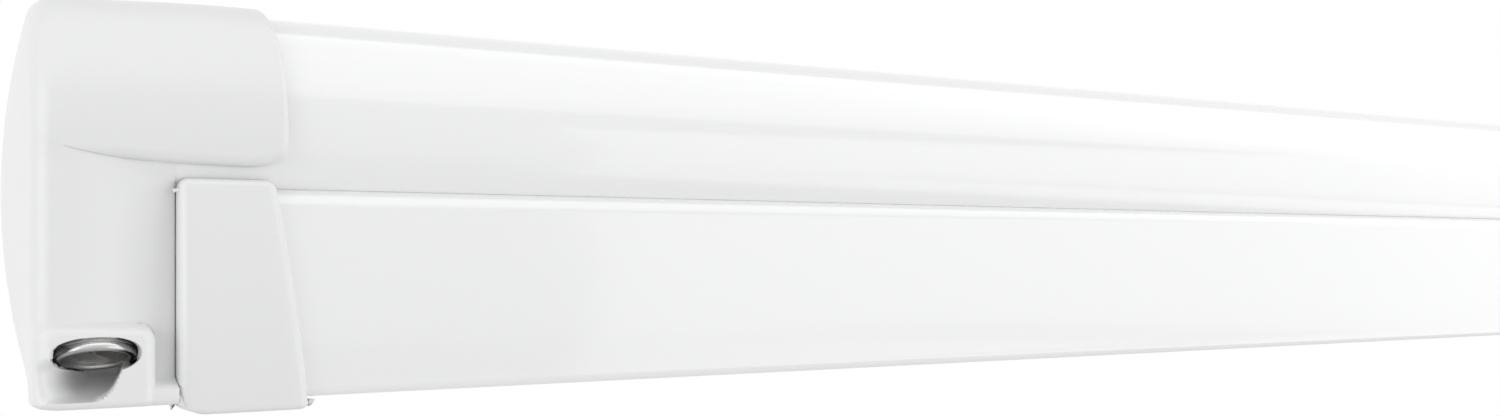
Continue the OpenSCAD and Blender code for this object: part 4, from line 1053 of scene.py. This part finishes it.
weave, ends, result = new_group("woven_threads", [("Threads per Metre", 900.0),
                                                  ("Stripe Width", 0.12)],
                                ["Height", "Stripe", "Thread Tone"])
cloth_uv = add(weave, "ShaderNodeUVMap", uv_map="threads")
parts = add(weave, "ShaderNodeSeparateXYZ")
weave.links.new(cloth_uv.outputs["UV"], parts.inputs["Vector"])
waves = []
for axis in ("X", "Y"):
    turns = calc(weave, "MULTIPLY", parts.outputs[axis], ends.outputs["Threads per Metre"])
    waves.append(calc(weave, "SINE", calc(weave, "MULTIPLY", turns, pi), 0.0))
weave.links.new(calc(weave, "MULTIPLY", waves[0], waves[1]), result.inputs["Height"])
stripe = calc(weave, "FRACT", calc(weave, "DIVIDE", parts.outputs["X"],
                                   ends.outputs["Stripe Width"]), 0.0)
weave.links.new(calc(weave, "GREATER_THAN", stripe, STRIPE_FROM), result.inputs["Stripe"])
tone = add(weave, "ShaderNodeMapping", {"Scale": (700.0, 3.0, 1.0)})
weave.links.new(cloth_uv.outputs["UV"], tone.inputs["Vector"])
weave.links.new(cloudy(weave, tone.outputs[0], 1.0, 2.0, 0.5), result.inputs["Thread Tone"])
print("node groups:", [g.name for g in (grain, brush, weave)])

# %% [markdown]
# ## Finishes
# Each finish is one Principled shader. What changes over the surface comes from the
# groups; what is the same all over, such as the clear coat, is set on the shader itself.

# %% A helper that builds a finish
USED = {"surface_grain": ("Clouds", "Clouds", "Grain"),  # for colour, roughness and height
        "brushed_lines": ("Lines", "Lines", "Lines"),
        "woven_threads": ("Stripe", "Thread Tone", "Height")}
MASK_LOW, MASK_HIGH = 0.25, 0.75  # noise rarely leaves this range


def shades(tree, mask, low, high):
    """Colour between two tones by a mask."""
    mixer = add(tree, "ShaderNodeMix", data_type="RGBA")
    for socket in mixer.inputs:
        if socket.type == "RGBA":
            socket.default_value = (*(low if socket.name == "A" else high), 1.0)
    tree.links.new(mask, mixer.inputs["Factor"])
    return [s for s in mixer.outputs if s.type == "RGBA"][0]


def spread_value(tree, mask, low, high):
    ranged = add(tree, "ShaderNodeMapRange", {"From Min": MASK_LOW, "From Max": MASK_HIGH,
                                              "To Min": low, "To Max": high})
    tree.links.new(mask, ranged.inputs["Value"])
    return ranged.outputs["Result"]


def new_finish(name, group, values, tones, gloss, bump, **fixed):
    """A finish from a group and its values, two tones, roughness, and bump strength and mm."""
    finish = bpy.data.materials.new(name)
    finish.use_nodes = True
    tree = finish.node_tree
    shader = tree.nodes["Principled BSDF"]
    source = add(tree, "ShaderNodeGroup", node_tree=group)
    for socket, value in zip(source.inputs, values):
        socket.default_value = value
    tint, rough, height = [source.outputs[title] for title in USED[group.name]]
    tree.links.new(shades(tree, tint, *tones), shader.inputs["Base Color"])
    tree.links.new(spread_value(tree, rough, *gloss), shader.inputs["Roughness"])
    relief = add(tree, "ShaderNodeBump", {"Strength": bump[0], "Distance": bump[1] * MM})
    tree.links.new(height, relief.inputs["Height"])
    tree.links.new(relief.outputs["Normal"], shader.inputs["Normal"])
    for key, value in fixed.items():
        shader.inputs[key.replace("_", " ").title()].default_value = value
    return finish


print("a finish can use", *USED)

# %% All finishes
finishes = {
    "white_paint": new_finish(
        "gloss_white_powder_coat", grain, (520.0, 5.0),
        ((0.872, 0.875, 0.88), (0.886, 0.888, 0.892)), (0.17, 0.24), (0.06, 0.10),
        coat_weight=0.8, coat_roughness=0.08),
    "white_plastic": new_finish(
        "moulded_white_plastic", grain, (800.0, 9.0),
        ((0.808, 0.81, 0.814), (0.82, 0.822, 0.826)), (0.28, 0.36), (0.10, 0.10)),
    "arm_paint": new_finish(
        "satin_anodised_tube", brush, (36.0,),
        ((0.72, 0.73, 0.74), (0.80, 0.81, 0.82)), (0.30, 0.42), (0.08, 0.05), metallic=0.65),
    "dark_plastic": new_finish(
        "dark_moulded_plastic", grain, (1500.0, 14.0),
        ((0.030, 0.031, 0.033), (0.055, 0.056, 0.058)), (0.42, 0.58), (0.30, 0.12)),
    "cast_aluminium": new_finish(
        "cast_aluminium", grain, (1100.0, 20.0),
        ((0.50, 0.51, 0.52), (0.66, 0.67, 0.68)), (0.36, 0.52), (0.35, 0.15), metallic=1.0),
    "steel": new_finish(
        "zinc_plated_steel", grain, (1400.0, 60.0),
        ((0.52, 0.53, 0.55), (0.68, 0.68, 0.66)), (0.22, 0.38), (0.15, 0.05), metallic=1.0),
    "cast_metal": new_finish(
        "worn_zinc_casting", grain, (900.0, 120.0),
        ((0.42, 0.415, 0.41), (0.60, 0.595, 0.59)), (0.20, 0.36), (0.25, 0.10), metallic=1.0),
    "brass": new_finish(
        "machined_brass", brush, (60.0,),
        ((0.62, 0.46, 0.20), (0.78, 0.62, 0.30)), (0.24, 0.36), (0.10, 0.04), metallic=1.0),
    "bead_plastic": new_finish(
        "bead_plastic", grain, (1200.0, 15.0),
        ((0.76, 0.76, 0.75), (0.82, 0.82, 0.81)), (0.35, 0.5), (0.15, 0.06)),
    "awning_cloth": new_finish(
        "striped_awning_cloth", weave, (900.0, 0.12),
        ((0.60, 0.61, 0.62), (0.16, 0.19, 0.23)), (0.62, 0.82), (0.45, 0.25),
        sheen_weight=0.15),
}
print("finishes:", len(finishes))

# %% [markdown]
# ## Put the finishes on
# A new piece gets the finish of the slot that it was given. A solid that still shows
# keeps its shape and gets the finish that the record names for it.

# %% Assign finishes to pieces and solids
dressed = [o for o in bpy.data.objects if o.type == "MESH"]
for piece in dressed:
    node = piece.get("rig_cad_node")
    finish = finishes[slot_of[node] if node else piece["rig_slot"]]
    if not piece.material_slots:
        piece.data.materials.append(finish)
    for socket in piece.material_slots:
        socket.material = finish
print("dressed", len(dressed), "pieces and solids")

# %% [markdown]
# ## Floor, light and background
# The photograph is a product shot on white. One weak box hangs overhead, one stands at the
# left, and a large one far off at the right fills the front evenly. That one isn't mirrored,
# but gloss needs something to mirror. So two cards show in reflections only: one overhead,
# whose front edge draws the soft line along the round of the case, and one at the right,
# which lifts the far end. The world is a weak sky for the light, and plain white for the
# camera and in reflections.

# %% Floor, soft boxes and a white surround
FLOOR_HALF, FLOOR_PLACE = 8.0, (0, -1.0, -1.992)
ground = bmesh.new()
bmesh.ops.create_grid(ground, x_segments=1, y_segments=1, size=FLOOR_HALF)
bmesh.ops.translate(ground, verts=ground.verts[:], vec=FLOOR_PLACE)
pale_floor = mesh_object("pale_floor", ground)
pale_floor.data.materials.append(new_finish(
    "pale_floor", grain, (300.0, 1.5),
    ((0.80, 0.80, 0.80), (0.84, 0.84, 0.84)), (0.6, 0.75), (0.05, 0.2)))


def soft_box(name, centre, aim, wide, tall, radiance):
    data = bpy.data.lights.new(name, "AREA")
    data.shape, data.size, data.size_y = "RECTANGLE", wide, tall
    data.energy = radiance * pi * wide * tall
    lamp = bpy.data.objects.new(name, data)
    lamp.location = centre
    lamp.rotation_euler = (Vector(aim) - Vector(centre)).to_track_quat("-Z", "Y").to_euler()
    scene.collection.objects.link(lamp)
    return lamp


soft_box("left_box", (-3.4, -0.7, 0.4), (-1.1, 0, 0), 1.8, 1.8, 2.2)
soft_box("overhead_box", (0, -0.7, 1.7), (0, -0.7, 0), 6.0, 1.4, 0.18)
fill = soft_box("right_box", (6.0, -5.0, 0.8), (-0.8, 0, 0), 5.0, 4.0, 3.8)
fill.visible_glossy = False
for card in (soft_box("overhead_card", (0, -0.6, 1.62), (0, -0.6, 0), 7.0, 2.7, 0.9),
             soft_box("right_card", (1.7, -2.0, 0.0), (-0.2, 0, 0), 3.2, 2.6, 0.85)):
    card.visible_diffuse = False

SKY, WHITE = 0.64, (1.0, 1.0, 1.0, 1.0)
world = bpy.data.worlds.new("white_surround")
scene.world = world
world.use_nodes = True
tree = world.node_tree
lit = tree.nodes["Background"]
lit.inputs["Color"].default_value = WHITE
lit.inputs["Strength"].default_value = SKY
seen = add(tree, "ShaderNodeBackground", {"Color": WHITE, "Strength": 1.0})
path = add(tree, "ShaderNodeLightPath")
shown = calc(tree, "MAXIMUM", path.outputs["Is Camera Ray"], path.outputs["Is Glossy Ray"])
shown = calc(tree, "MAXIMUM", shown, path.outputs["Is Transmission Ray"])
choice = add(tree, "ShaderNodeMixShader")
tree.links.new(shown, choice.inputs[0])
tree.links.new(lit.outputs[0], choice.inputs[1])
tree.links.new(seen.outputs[0], choice.inputs[2])
tree.links.new(choice.outputs[0], tree.nodes["World Output"].inputs["Surface"])

# %% [markdown]
# ## The box of the solids
# The dressed awning has to stay inside the box of its solids. Here we print that box.

# %% Print the box of the solids
print("solids:", [[round(v, 4) for v in c] for c in solid_box])
